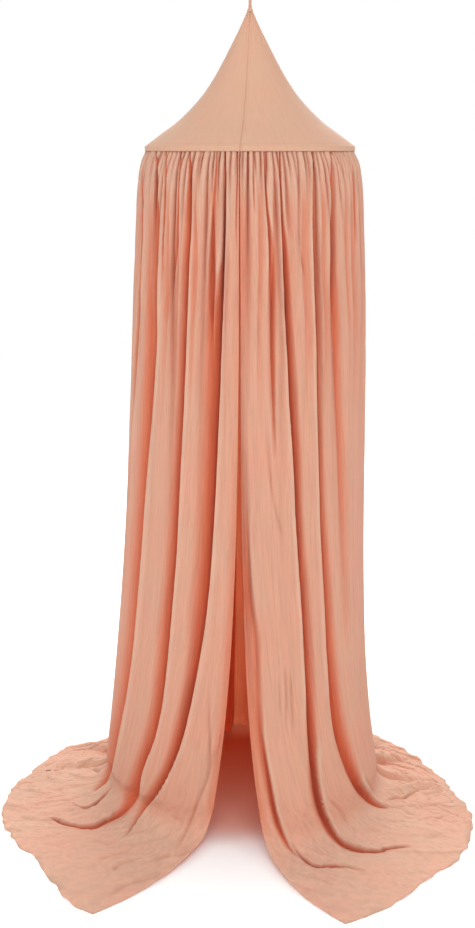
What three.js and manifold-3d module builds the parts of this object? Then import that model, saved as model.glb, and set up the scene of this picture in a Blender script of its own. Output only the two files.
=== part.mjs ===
// Bed crown canopy: a tent-shaped crown on a cloth-cased hoop, hung from the ceiling by a looped cord,
// with gathered muslin curtains that fall to the floor and run out over it as a train.
// Millimetres, +Z up. The origin is the centre of the ceiling plate's top face.
// An azimuth is measured round +Z from the front (-Y) towards the right (+X).
import * as THREE from "three";
import { mergeVertices } from "three/addons/utils/BufferGeometryUtils.js";
import Module from "manifold-3d";

const wasm = await Module();
wasm.setup();

// Clearances
const fit = 0.3; // between two pieces that touch
const overrun = 1; // how far a cutting shape passes the face that it cuts

// Ceiling plate, with a boss that the hook screws into
const plateDiameter = 42;
const plateThickness = 3;
const bossDiameter = 11;
const bossDrop = 6;
const socketDepth = 5;
const plateSides = 40;

// Countersunk screws
const screwSpacing = 26;
const screwDiameter = 3.5;
const screwHeadDiameter = 7.6;
const screwHeadHeight = 2.2;
const screwLength = 30;
const screwTipLength = 4;
const screwSides = 16;

// Cup hook, bent from one wire
const hookWire = 4;
const hookBowlRadius = 9;
const hookBendRadius = 6;
const hookNeck = 2;
const hookLipAngle = THREE.MathUtils.degToRad(30);
const hookSteps = 36;
const wireSides = 8;

// Hanging cord and the neck that it is bound into
const cordDiameter = 3.5;
const cordDrop = 80;
const cordSteps = 78;
const neckHeight = 12;
const neckTopDiameter = 9;
const neckBaseDiameter = 15;
const neckRollRadius = 1.2;
const neckSides = 20;
const knotDiameter = 11;

// Crown: four gores of cloth that hang in from the neck to the hoop
const crownHeight = 320;
const crownTipRadius = 6.2;
const goreThickness = 1.5;
const goreEndLength = 6; // length beside the hoop over which a gore runs straight at it

// Hoop: four rods plugged together with sleeves, inside a cloth casing
const hoopDiameter = 500;
const rodDiameter = 6;
const sleeveWall = 0.9;
const sleeveTurn = THREE.MathUtils.degToRad(7.5);
const casingSlack = 0.7;
const casingWall = 1.1;
const casingFeedGap = 12;
const hoopSides = 48;
const tubeSides = 8;

// Curtains: four widths of muslin, two behind and two that part in front
const hoopAboveFloor = 1646;
const curtainThickness = 3;
const headSpringDrop = 12; // height over which the gathered heading springs out from the casing
const belly = 40; // how far the cloth fills out over the gathers
const bellyDrop = 150; // height over which it fills out
const footRadius = 377; // to the crests of the folds, where the cloth bends on to the floor
const hemRadius = 790; // to the tips of the train beside the opening
const foldDepth = 62;
const foldGrowDrop = 380; // height over which the fine gathers run together into main folds
const trainRidge = 24; // height of a main fold where it runs out over the floor
const turnHeight = 85;
const turnReach = 120;
const openingTopGap = 3;
const openingTurn = THREE.MathUtils.degToRad(20.3); // from the front to each tip of the train
const openingPower = 4;
const faceColumns = 4; // columns of the mesh over the broad face of a fold

// Outlines and places, as shares of the sizes that they follow
const crownRadiusShares = [0.86, 0.718, 0.58, 0.455, 0.358, 0.27, 0.19, 0.107, 0.025];
const crownHeightShares = [0.11, 0.19, 0.29, 0.4, 0.51, 0.627, 0.744, 0.87, 1];
const columnDropShares = [0, 0.006, 0.016, 0.04, 0.09, 0.18, 0.32, 0.48, 0.64, 0.8, 0.91, 1];
const turnShares = [0.5, 1];
const trainShares = [0.33, 0.67, 1];
const headSpringShare = 0.25; // the part of the belly that springs out just under the casing
const straightShare = 0.1; // the part of the flare that widens evenly; the rest sweeps out below
const facePower = 8;
const columnClothShare = 0.8;
const turnClothShare = 0.06;
const crestRunShare = 0.045; // from a fold's outer valley to its crest, as a share of the curtain
const risePower = 2;
const fallPower = 1.5;
const sweepStartShare = 0.45; // of the column, below which the folds sweep out towards the sides
const sweepPower = 1.6;

// Each curtain: where its valleys lie from the side seam to the other edge, how deep each fold is,
// how far its foot and its hem stand out, at even steps from the side seam to the other edge, how
// far its folds have swept out at the hem, and how late the column flares, at those two edges.
const curtains = [
  {
    name: "curtain_front_left",
    side: -1,
    front: true,
    valleyShares: [0, 0.185, 0.415, 0.665, 0.86, 1.12, 1.5],
    depthShares: [1, 0.97, 0.95, 0.9, 0.65, 0.5],
    footShares: [0.985, 1, 1.01, 1.02, 1.03, 1.035, 1.035],
    hemShares: [0.742, 0.787, 0.83, 0.855, 0.868, 0.93, 1.01],
    sweepShare: 0.36,
    flarePowers: [2.4, 2.4],
  },
  {
    name: "curtain_front_right",
    side: 1,
    front: true,
    valleyShares: [0, 0.17, 0.36, 0.555, 0.695, 1.12, 1.5],
    depthShares: [1, 0.95, 0.9, 1, 0.7, 0.5],
    footShares: [0.89, 0.92, 0.97, 1.02, 1.07, 1.11, 1.14],
    hemShares: [0.67, 0.74, 0.785, 0.848, 0.866, 0.94, 0.995],
    sweepShare: 0.2,
    flarePowers: [6, 6],
  },
  {
    name: "curtain_back_left",
    side: -1,
    front: false,
    valleyShares: [0, 0.19, 0.41, 0.6, 0.82, 1],
    depthShares: [1, 0.95, 0.85, 1, 0.8],
    footShares: [0.985, 0.97, 0.94, 0.91, 0.875, 0.843, 0.833],
    hemShares: [0.742, 0.7, 0.61, 0.6, 0.6, 0.62, 0.63],
    sweepShare: 0,
    flarePowers: [2.4, 4],
  },
  {
    name: "curtain_back_right",
    side: 1,
    front: false,
    valleyShares: [0, 0.22, 0.4, 0.62, 0.8, 1],
    depthShares: [1, 0.95, 1, 0.9, 0.8],
    footShares: [0.89, 0.875, 0.86, 0.85, 0.843, 0.836, 0.833],
    hemShares: [0.67, 0.625, 0.6, 0.598, 0.6, 0.62, 0.63],
    sweepShare: 0,
    flarePowers: [6, 4],
  },
];

// Route of the hanging cord: up from the neck, round the hook's wire and back down beside itself
const cordRoute = [
  [-1.9, 0, -113.4],
  [-1.9, 0, -104],
  [-1.9, 0, -94],
  [-1.95, 0, -84],
  [-2.3, 0, -74],
  [-3.3, 0, -63],
  [-4.9, 0, -52],
  [-6.4, 0, -43],
  [-7.1, 0, -36.5],
  [-5.1, 0, -31.8],
  [0, 0, -29.6],
  [5.1, 0, -31.8],
  [7.1, 0, -36.5],
  [6.4, 0, -43],
  [4.9, 0, -52],
  [3.3, 0, -63],
  [2.3, 0, -74],
  [1.95, 0, -84],
  [1.9, 0, -94],
  [1.9, 0, -104],
  [1.9, 0, -113.4],
];

// Levels worked out from the sizes above
const quarterTurn = Math.PI / 2;
const plateBottom = -plateThickness;
const bossBottom = plateBottom - bossDrop;
const hookBendTurn = Math.acos(hookBendRadius / (hookBendRadius + hookBowlRadius));
const hookBowlLevel =
  bossBottom - hookNeck - (hookBendRadius + hookBowlRadius) * Math.sin(hookBendTurn);
const hookSeatLevel = hookBowlLevel - hookBowlRadius;
const neckTop = hookSeatLevel - cordDrop;
const neckBottom = neckTop - neckHeight;
const crownTop = neckBottom - fit - goreThickness / 2;
const hoopLevel = crownTop - crownHeight;
const floorLevel = hoopLevel - hoopAboveFloor;
const hoopRadius = hoopDiameter / 2;
const rodRadius = rodDiameter / 2;
const sleeveBore = rodRadius + fit;
const sleeveRadius = sleeveBore + sleeveWall;
const casingBore = sleeveRadius + casingSlack;
const casingRadius = casingBore + casingWall;
const casingHalfWidth = casingRadius * Math.cos(Math.PI / tubeSides); // centre to a flat of the casing
const gatherLevel = hoopLevel - casingHalfWidth - fit;
const clothOnFloor = floorLevel + curtainThickness / 2;
const columnHeight = gatherLevel - floorLevel - turnHeight;

// A solid of the boolean library from a closed three.js geometry
function solidOf(geometry) {
  const bare = geometry.clone();
  bare.deleteAttribute("normal");
  bare.deleteAttribute("uv");
  const merged = mergeVertices(bare);
  return new wasm.Manifold(
    new wasm.Mesh({
      numProp: 3,
      vertProperties: merged.attributes.position.array,
      triVerts: new Uint32Array(merged.index.array),
    }),
  );
}

// The three.js geometry of a solid
function geometryOf(solid) {
  const { vertProperties, triVerts } = solid.getMesh();
  const geometry = new THREE.BufferGeometry();
  geometry.setAttribute("position", new THREE.BufferAttribute(vertProperties, 3));
  geometry.setIndex(new THREE.BufferAttribute(triVerts, 1));
  geometry.computeVertexNormals();
  return geometry;
}

// A profile of [radius, height] pairs turned round Z
function turned(profile, sides) {
  const points = profile.map(([radius, height]) => new THREE.Vector2(radius, height));
  return new THREE.LatheGeometry(points, sides).rotateX(quarterTurn);
}

// A round wire along a curve
function wireAlong(curve, diameter, sides, steps) {
  const section = new THREE.Shape();
  for (let i = 0; i < sides; i += 1) {
    const angle = (2 * Math.PI * i) / sides;
    const point = [(diameter / 2) * Math.cos(angle), (diameter / 2) * Math.sin(angle)];
    if (i === 0) section.moveTo(...point);
    else section.lineTo(...point);
  }
  section.closePath();
  return new THREE.ExtrudeGeometry(section, { steps, bevelEnabled: false, extrudePath: curve });
}

// The point at a radius, an azimuth and a height
function placeRound(radius, azimuth, height) {
  return new THREE.Vector3(radius * Math.sin(azimuth), -radius * Math.cos(azimuth), height);
}

// A geometry from corner points and triangles, turned so that its faces point out
function closedBody(corners, triangles) {
  let sixVolumes = 0;
  for (let i = 0; i < triangles.length; i += 3) {
    const [a, b, c] = [corners[triangles[i]], corners[triangles[i + 1]], corners[triangles[i + 2]]];
    sixVolumes += a.dot(b.clone().cross(c));
  }
  const index = sixVolumes < 0 ? [...triangles].reverse() : triangles;
  const geometry = new THREE.BufferGeometry().setFromPoints(corners);
  geometry.setIndex(index);
  geometry.computeVertexNormals();
  return geometry;
}

// A factor on radii round the hoop: the hoop is drawn with straight sides, so that every piece
// on it has the same flats.
function hoopSideFactor(azimuth) {
  const side = (2 * Math.PI) / hoopSides;
  const fromMiddle = azimuth - (Math.floor(azimuth / side) + 0.5) * side;
  return Math.cos(side / 2) / Math.cos(fromMiddle);
}

// A rod or tube bent round the hoop from one azimuth to another; a bore of zero leaves it solid
function roundHoop(from, to, outerRadius, boreRadius) {
  const side = (2 * Math.PI) / hoopSides;
  const azimuths = [from];
  for (let i = Math.floor(from / side) + 1; i * side < to - side / hoopSides; i += 1) {
    if (i * side > from + side / hoopSides) azimuths.push(i * side);
  }
  azimuths.push(to);
  const corners = [];
  const addSection = (azimuth, radius) => {
    for (let k = 0; k < tubeSides; k += 1) {
      const angle = (2 * Math.PI * (k + 0.5)) / tubeSides;
      const out = (hoopRadius + radius * Math.cos(angle)) * hoopSideFactor(azimuth);
      corners.push(placeRound(out, azimuth, hoopLevel + radius * Math.sin(angle)));
    }
  };
  azimuths.forEach((azimuth) => addSection(azimuth, outerRadius));
  if (boreRadius > 0) azimuths.forEach((azimuth) => addSection(azimuth, boreRadius));
  const last = azimuths.length - 1;
  const bore = azimuths.length * tubeSides;
  const triangles = [];
  const quad = (a, b, c, d) => triangles.push(a, b, c, a, c, d);
  for (let k = 0; k < tubeSides; k += 1) {
    const next = (k + 1) % tubeSides;
    for (let i = 0; i < last; i += 1) {
      const [here, there] = [i * tubeSides, (i + 1) * tubeSides];
      quad(here + k, here + next, there + next, there + k);
      if (boreRadius > 0) quad(bore + here + next, bore + here + k, bore + there + k, bore + there + next);
    }
    const end = last * tubeSides;
    if (boreRadius > 0) {
      quad(next, k, bore + k, bore + next);
      quad(end + k, end + next, bore + end + next, bore + end + k);
    } else if (k > 0 && k < tubeSides - 1) {
      triangles.push(0, k + 1, k, end, end + k, end + k + 1);
    }
  }
  return closedBody(corners, triangles);
}

// A cloth of some thickness on both sides of a surface, closed along its edges.
// The surface is a function of two numbers, taken at the stations across and down.
function clothOn(surface, across, down, thickness) {
  const probe = 1e-4;
  const ends = (value, stations) => [
    Math.max(value - probe, stations[0]),
    Math.min(value + probe, stations[stations.length - 1]),
  ];
  const faceCorners = [];
  const backCorners = [];
  for (const v of down) {
    for (const u of across) {
      const [u0, u1] = ends(u, across);
      const [v0, v1] = ends(v, down);
      const acrossStep = surface(u1, v).sub(surface(u0, v));
      const downStep = surface(u, v1).sub(surface(u, v0));
      const normal = acrossStep.cross(downStep).normalize();
      faceCorners.push(surface(u, v).addScaledVector(normal, thickness / 2));
      backCorners.push(surface(u, v).addScaledVector(normal, -thickness / 2));
    }
  }
  const [width, depth, back] = [across.length, down.length, faceCorners.length];
  const triangles = [];
  const quad = (a, b, c, d) => triangles.push(a, b, c, a, c, d);
  for (let j = 0; j < depth - 1; j += 1) {
    for (let i = 0; i < width - 1; i += 1) {
      const [a, b] = [j * width + i, j * width + i + 1];
      const [c, d] = [b + width, a + width];
      quad(a, b, c, d);
      quad(back + b, back + a, back + d, back + c);
    }
  }
  for (let i = 0; i < width - 1; i += 1) {
    const end = (depth - 1) * width;
    quad(i, back + i, back + i + 1, i + 1);
    quad(end + i + 1, back + end + i + 1, back + end + i, end + i);
  }
  for (let j = 0; j < depth - 1; j += 1) {
    const [a, b] = [j * width, (j + 1) * width];
    const [c, d] = [a + width - 1, b + width - 1];
    quad(b, back + b, back + a, a);
    quad(c, back + c, back + d, d);
  }
  return closedBody([...faceCorners, ...backCorners], triangles);
}

// The value of a table of evenly spaced values at a share of its length, on a smooth curve that is
// level at both ends, so that neighbouring widths of cloth meet squarely at their seam
function smoothValue(values, share) {
  const mirrored = [values[1], ...values, values[values.length - 2]];
  const points = mirrored.map((value, i) => new THREE.Vector2(i, value));
  return new THREE.SplineCurve(points).getPoint((1 + share * (values.length - 1)) / (values.length + 1)).y;
}

// The azimuth between two seams: each edge stays half a gap off its own seam, at any radius
function azimuthBetween(from, to, share, radius, fromGap, toGap) {
  const turn = Math.sign(to - from);
  const start = from + turn * Math.asin(fromGap / 2 / radius);
  const end = to - turn * Math.asin(toGap / 2 / radius);
  return start + (end - start) * share;
}

// Ceiling plate
function ceilingPlate() {
  const plateRadius = plateDiameter / 2;
  const plate = turned(
    [
      [0, plateBottom],
      [plateRadius, plateBottom],
      [plateRadius, 0],
      [0, 0],
    ],
    plateSides,
  );
  const boss = turned(
    [
      [0, bossBottom],
      [bossDiameter / 2, bossBottom],
      [bossDiameter / 2, plateBottom + plateThickness / 2],
      [0, plateBottom + plateThickness / 2],
    ],
    screwSides,
  );
  const socketRadius = hookWire / 2 + fit;
  const socket = turned(
    [
      [0, bossBottom - overrun],
      [socketRadius, bossBottom - overrun],
      [socketRadius, bossBottom + socketDepth],
      [0, bossBottom + socketDepth],
    ],
    wireSides,
  );
  let body = solidOf(plate).add(solidOf(boss)).subtract(solidOf(socket));
  for (const side of [-1, 1]) {
    const holeRadius = screwDiameter / 2 + fit;
    const headRadius = screwHeadDiameter / 2 + fit;
    const slope = (headRadius - holeRadius) / screwHeadHeight;
    const hole = turned(
      [
        [0, plateBottom - overrun],
        [headRadius + slope * overrun, plateBottom - overrun],
        [holeRadius, plateBottom + screwHeadHeight],
        [holeRadius, overrun],
        [0, overrun],
      ],
      screwSides,
    );
    body = body.subtract(solidOf(hole.translate((side * screwSpacing) / 2, 0, 0)));
  }
  return geometryOf(body);
}

// Countersunk screw, head down
function plateScrew(side) {
  const shankRadius = screwDiameter / 2;
  const screw = turned(
    [
      [0, plateBottom],
      [screwHeadDiameter / 2, plateBottom],
      [shankRadius, plateBottom + screwHeadHeight],
      [shankRadius, plateBottom + screwLength - screwTipLength],
      [0, plateBottom + screwLength],
    ],
    screwSides,
  );
  return screw.translate((side * screwSpacing) / 2, 0, 0);
}

// The hook's centre line in the YZ plane: down the stem, out round the bend, and round the bowl
class HookLine extends THREE.Curve {
  constructor() {
    super();
    this.stemTop = bossBottom + socketDepth - fit;
    this.stem = this.stemTop - bossBottom + hookNeck;
    this.bend = hookBendRadius * hookBendTurn;
    this.bowl = hookBowlRadius * (hookBendTurn + Math.PI + hookLipAngle);
  }

  getPoint(share, target = new THREE.Vector3()) {
    const along = share * (this.stem + this.bend + this.bowl);
    if (along < this.stem) return target.set(0, 0, this.stemTop - along);
    if (along < this.stem + this.bend) {
      const angle = (along - this.stem) / hookBendRadius;
      const level = this.stemTop - this.stem - hookBendRadius * Math.sin(angle);
      return target.set(0, hookBendRadius * (1 - Math.cos(angle)), level);
    }
    const angle = hookBendTurn - (along - this.stem - this.bend) / hookBowlRadius;
    const level = hookBowlLevel + hookBowlRadius * Math.sin(angle);
    return target.set(0, hookBowlRadius * Math.cos(angle), level);
  }
}

// The neck: the crown's gathered tip, whipped round the cord
function boundNeck() {
  const topRadius = neckTopDiameter / 2;
  const baseRadius = neckBaseDiameter / 2;
  return turned(
    [
      [0, neckBottom],
      [baseRadius, neckBottom],
      [baseRadius + neckRollRadius / 2, neckBottom + neckRollRadius],
      [baseRadius, neckBottom + 2 * neckRollRadius],
      [(topRadius + baseRadius) / 2, (neckTop + neckBottom) / 2],
      [topRadius, neckTop - neckRollRadius],
      [topRadius - neckRollRadius / 2, neckTop],
      [0, neckTop],
    ],
    neckSides,
  );
}

// The knot that holds the cord's ends under the neck
function cordKnot() {
  const radius = knotDiameter / 2;
  const knot = new THREE.SphereGeometry(radius, neckSides / 2, neckSides / 2).rotateX(quarterTurn);
  return knot.translate(0, 0, neckBottom - fit - radius);
}

// One gore of the crown, from its neck to the hoop, between two seams
function crownGore(fromAzimuth, toAzimuth) {
  const seat = (casingHalfWidth + fit) * Math.SQRT1_2;
  const straight = goreEndLength * Math.SQRT1_2;
  const points = crownRadiusShares.map((share, i) => {
    const radius = Math.max(share * hoopRadius, crownTipRadius);
    return new THREE.Vector2(radius, hoopLevel + crownHeightShares[i] * crownHeight);
  });
  const hem = new THREE.Vector2(hoopRadius - seat, hoopLevel + seat);
  const beside = new THREE.Vector2(hem.x - straight, hem.y + straight);
  const outline = new THREE.SplineCurve([hem, beside, ...points]);
  const surface = (u, v) => {
    const { x: radius, y: level } = outline.getPoint(v);
    const azimuth = azimuthBetween(fromAzimuth, toAzimuth, u, radius, fit, fit);
    return placeRound(radius, azimuth, level);
  };
  const columns = hoopSides / 4;
  const across = Array.from({ length: columns + 1 }, (_, i) => i / columns);
  const rows = outline.points.length - 1;
  const down = Array.from({ length: rows + 1 }, (_, i) => i / rows);
  return clothOn(surface, across, down, goreThickness);
}

// The length of a fold's steep outer side, as a share of the curtain
function crestRun({ valleyShares }, fold) {
  return Math.min(crestRunShare, 0.4 * (valleyShares[fold + 1] - valleyShares[fold]));
}

// How far the fold at a share of the curtain's width stands out, from 0 in a valley to 1 on a crest.
// The crest lies beside the outer valley, and the fold's face falls slowly from it to the inner one.
function foldHeight(curtain, share) {
  const { valleyShares, depthShares } = curtain;
  const last = depthShares.length - 1;
  const found = valleyShares.findIndex((valley) => valley > share) - 1;
  const fold = found < 0 ? last : found;
  const run = crestRun(curtain, fold);
  const crest = valleyShares[fold] + run;
  if (share < crest) {
    return depthShares[fold] * Math.sin((quarterTurn * (share - valleyShares[fold])) / run) ** risePower;
  }
  const fallen = Math.min((share - crest) / (valleyShares[fold + 1] - crest), 1);
  return depthShares[fold] * Math.cos(quarterTurn * fallen) ** fallPower;
}

// How far the folds have swept out towards the side at a stage
function sweep({ sweepShare }, share, stage) {
  const along = Math.max(stage - sweepStartShare, 0) / (3 - sweepStartShare);
  return sweepShare * along ** sweepPower * THREE.MathUtils.smoothstep(share, 0, 0.5);
}

// The curtain's line down one column of cloth, as its radius, level and the direction that it faces.
// The stage runs from 0 to 1 down the column, to 2 round the turn and to 3 out over the floor.
function curtainLine(curtain, share, stage) {
  const crest = footRadius * smoothValue(curtain.footShares, share);
  const hem = hemRadius * smoothValue(curtain.hemShares, share);
  const flare = crest - hoopRadius - belly;
  const power = smoothValue(curtain.flarePowers, share);
  const foot = crest - foldDepth;
  const slope = (flare * (straightShare + (1 - straightShare) * power)) / columnHeight;
  if (stage <= 1) {
    const drop = stage * columnHeight;
    const grown = THREE.MathUtils.smoothstep(drop, 0, foldGrowDrop);
    const eased = drop ** 2 / (drop + headSpringDrop); // the cloth starts straight down
    const filled =
      headSpringShare * (1 - Math.exp(-eased / headSpringDrop)) +
      (1 - headSpringShare) * (1 - Math.exp(-eased / bellyDrop));
    const flared = straightShare * stage + (1 - straightShare) * stage ** power;
    const radius = hoopRadius + belly * filled + flare * flared - foldDepth * grown;
    const facing = new THREE.Vector2(1, slope * stage ** facePower).normalize();
    return { radius, level: gatherLevel - drop, facing, height: foldDepth * grown };
  }
  const start = new THREE.Vector2(foot, floorLevel + turnHeight);
  const corner = new THREE.Vector2(foot + slope * (start.y - clothOnFloor), clothOnFloor);
  const end = new THREE.Vector2(foot + turnReach, clothOnFloor);
  const turn = new THREE.QuadraticBezierCurve(start, corner, end);
  if (stage <= 2) {
    const point = turn.getPoint(stage - 1);
    const along = turn.getTangent(stage - 1);
    const height = THREE.MathUtils.lerp(foldDepth, trainRidge, THREE.MathUtils.smoothstep(stage, 1, 2));
    return { radius: point.x, level: point.y, facing: new THREE.Vector2(-along.y, along.x), height };
  }
  const out = stage - 2;
  return {
    radius: THREE.MathUtils.lerp(end.x, hem, out),
    level: clothOnFloor,
    facing: new THREE.Vector2(0, 1),
    height: trainRidge * (1 - out),
  };
}

// How far down the cloth a stage lies, from 0 at the gathers to 1 at the hem
function clothShare(stage) {
  if (stage <= 1) return stage * columnClothShare;
  if (stage <= 2) return columnClothShare + (stage - 1) * turnClothShare;
  return columnClothShare + turnClothShare + (stage - 2) * (1 - columnClothShare - turnClothShare);
}

// One width of curtain
function curtainWidth(curtain) {
  const { side, front, valleyShares } = curtain;
  const surface = (share, stage) => {
    const line = curtainLine(curtain, share, stage);
    const out = line.height * foldHeight(curtain, share + sweep(curtain, share, stage));
    const radius = line.radius + out * line.facing.x;
    const level = line.level + out * line.facing.y;
    const parted = openingTurn * clothShare(stage) ** openingPower;
    const edge = front ? side * parted : side * 2 * quarterTurn;
    const edgeGap = front ? openingTopGap : fit;
    const azimuth = azimuthBetween(side * quarterTurn, edge, share, radius, fit, edgeGap);
    return placeRound(radius, azimuth, level);
  };
  const columns = [0];
  valleyShares.slice(1).forEach((valley, fold) => {
    const run = crestRun(curtain, fold);
    const crest = valleyShares[fold] + run;
    columns.push(crest - run / 2, crest);
    for (let k = 1; k <= faceColumns; k += 1) columns.push(crest + ((valley - crest) * k) / faceColumns);
  });
  const across = [...columns.filter((share) => share < 1 - crestRunShare / 2), 1];
  const down = [
    ...columnDropShares,
    ...turnShares.map((share) => 1 + share),
    ...trainShares.map((share) => 2 + share),
  ];
  return clothOn(surface, across, down, curtainThickness);
}

// Finishes
const steel = { color: 0xc9c7c2, roughness: 0.32, metalness: 1 };
const zincScrew = { color: 0xb9b6ad, roughness: 0.4, metalness: 1 };
const sleeveBrass = { color: 0xb08d57, roughness: 0.35, metalness: 1 };
const springRod = { color: 0x8f9296, roughness: 0.45, metalness: 1 };
const cordCotton = { color: 0xb98a72, roughness: 0.95, metalness: 0 };
const crownMuslin = { color: 0xdcae94, roughness: 0.95, metalness: 0 };
const curtainMuslin = { color: 0xe3a589, roughness: 0.95, metalness: 0 };

function piece(name, geometry, finish) {
  const mesh = new THREE.Mesh(geometry, new THREE.MeshStandardMaterial(finish));
  mesh.name = name;
  return mesh;
}

// Ceiling fixing
const ceilingFixing = new THREE.Group();
ceilingFixing.add(piece("ceiling_plate", ceilingPlate(), steel));
ceilingFixing.add(piece("plate_screw_left", plateScrew(-1), zincScrew));
ceilingFixing.add(piece("plate_screw_right", plateScrew(1), zincScrew));
ceilingFixing.add(
  piece("ceiling_hook", wireAlong(new HookLine(), hookWire, wireSides, hookSteps), steel),
);

// Hanging cord
const cordLine = new THREE.CatmullRomCurve3(cordRoute.map((point) => new THREE.Vector3(...point)));
const hangingCord = wireAlong(cordLine, cordDiameter, wireSides, cordSteps);

// Crown
const crown = new THREE.Group();
crown.add(piece("apex_binding", boundNeck(), crownMuslin));
crown.add(piece("cord_knot", cordKnot(), cordCotton));
const quarters = [
  ["front_right", 0, 1],
  ["back_right", 1, 2],
  ["back_left", 2, 3],
  ["front_left", 3, 4],
];
for (const [place, from, to] of quarters) {
  crown.add(piece(`crown_gore_${place}`, crownGore(from * quarterTurn, to * quarterTurn), crownMuslin));
}

// Hoop, jointed halfway between the seams
const hoop = new THREE.Group();
const rodPlaces = ["right", "back", "left", "front"];
const halfRodGap = fit / 2 / hoopRadius;
rodPlaces.forEach((place, i) => {
  const joint = (i + 0.5) * quarterTurn;
  const rod = roundHoop(joint + halfRodGap, joint + quarterTurn - halfRodGap, rodRadius, 0);
  hoop.add(piece(`hoop_rod_${place}`, rod, springRod));
});
quarters.forEach(([place], i) => {
  const joint = (i + 0.5) * quarterTurn;
  const sleeve = roundHoop(joint - sleeveTurn / 2, joint + sleeveTurn / 2, sleeveRadius, sleeveBore);
  hoop.add(piece(`hoop_sleeve_${place}`, sleeve, sleeveBrass));
});
const halfFeed = casingFeedGap / 2 / hoopRadius;
const casing = roundHoop(Math.PI + halfFeed, 3 * Math.PI - halfFeed, casingRadius, casingBore);
hoop.add(piece("hoop_casing", casing, crownMuslin));

// Curtains
const drapes = new THREE.Group();
for (const curtain of curtains) {
  drapes.add(piece(curtain.name, curtainWidth(curtain), curtainMuslin));
}

const canopy = new THREE.Group();
canopy.add(ceilingFixing, piece("hanging_cord", hangingCord, cordCotton), crown, hoop, drapes);

export default canopy;
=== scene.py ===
import math

import bmesh
import bpy
import numpy as np
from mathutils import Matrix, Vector


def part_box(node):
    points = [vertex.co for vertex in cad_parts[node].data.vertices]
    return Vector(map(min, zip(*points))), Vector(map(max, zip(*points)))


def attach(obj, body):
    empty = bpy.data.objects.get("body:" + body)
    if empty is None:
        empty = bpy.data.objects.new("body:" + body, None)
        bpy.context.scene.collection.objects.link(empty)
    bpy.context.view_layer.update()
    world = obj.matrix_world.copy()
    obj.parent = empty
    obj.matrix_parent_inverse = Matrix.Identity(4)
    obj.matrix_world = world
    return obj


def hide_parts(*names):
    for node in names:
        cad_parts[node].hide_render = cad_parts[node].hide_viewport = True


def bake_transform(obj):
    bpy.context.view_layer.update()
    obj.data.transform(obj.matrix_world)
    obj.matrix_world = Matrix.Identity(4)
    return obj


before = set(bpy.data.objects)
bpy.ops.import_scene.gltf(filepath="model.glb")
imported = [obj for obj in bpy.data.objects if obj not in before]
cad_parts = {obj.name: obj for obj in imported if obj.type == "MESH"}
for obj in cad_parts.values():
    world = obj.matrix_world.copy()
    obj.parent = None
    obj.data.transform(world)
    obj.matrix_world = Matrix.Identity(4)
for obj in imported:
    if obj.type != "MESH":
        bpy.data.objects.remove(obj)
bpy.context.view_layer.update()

bl_info = {
    "name": "Bed crown canopy",
    "version": (1, 0, 0),
    "blender": (4, 5, 0),
    "location": "View3D > Sidebar > Canopy",
    "description": "Dresses a bed crown canopy: crown on a hoop, gathered curtains and train",
    "category": "Object",
}

# Lengths are in metres. An azimuth runs from the front (-Y) towards the right (+X).
QUARTER = math.pi / 2
CORNERS = ("front_right", "back_right", "back_left", "front_left")

# Places that the CAD frame gives
CASING_LOW, CASING_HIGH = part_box("hoop_casing")
BINDING_LOW, BINDING_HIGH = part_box("apex_binding")
KNOT_LOW, KNOT_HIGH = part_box("cord_knot")
HOOP_LEVEL = (CASING_LOW.z + CASING_HIGH.z) / 2
FLOOR_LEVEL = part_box("curtain_front_left")[0].z

# Curtains, from the same values as the CAD source
HOOP_RADIUS = 0.250
GATHER_DROP = 0.00584  # from the hoop's centre down to the gathered edge
GATHER_LEVEL = HOOP_LEVEL - GATHER_DROP
HEAD_SPRING_DROP = 0.012  # height over which the gathered heading springs out from the casing
HEAD_SPRING_SHARE = 0.25
BELLY = 0.040  # how far the cloth fills out over the gathers
BELLY_DROP = 0.150
FOOT_RADIUS = 0.377
HEM_RADIUS = 0.790
FOLD_DEPTH = 0.062
FOLD_GROW_DROP = 0.380  # height over which the fine gathers run together into main folds
TRAIN_RIDGE = 0.024  # height of a main fold where it runs out over the floor
TURN_HEIGHT = 0.085
TURN_REACH = 0.120
OPENING_TURN = math.radians(20.3)
OPENING_TOP_GAP = 0.003
OPENING_POWER = 4
SEAM_GAP = 0.0002
STRAIGHT_SHARE = 0.1  # the part of the flare that widens evenly
FACE_POWER = 8
CREST_RUN_SHARE = 0.045  # from a fold's outer valley to its crest, as a share of the curtain
COLUMN_HEIGHT = GATHER_LEVEL - FLOOR_LEVEL - TURN_HEIGHT
CLOTH_ON_FLOOR = FLOOR_LEVEL + 0.0015
LOWEST_CLOTH = FLOOR_LEVEL + 0.0006

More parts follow.
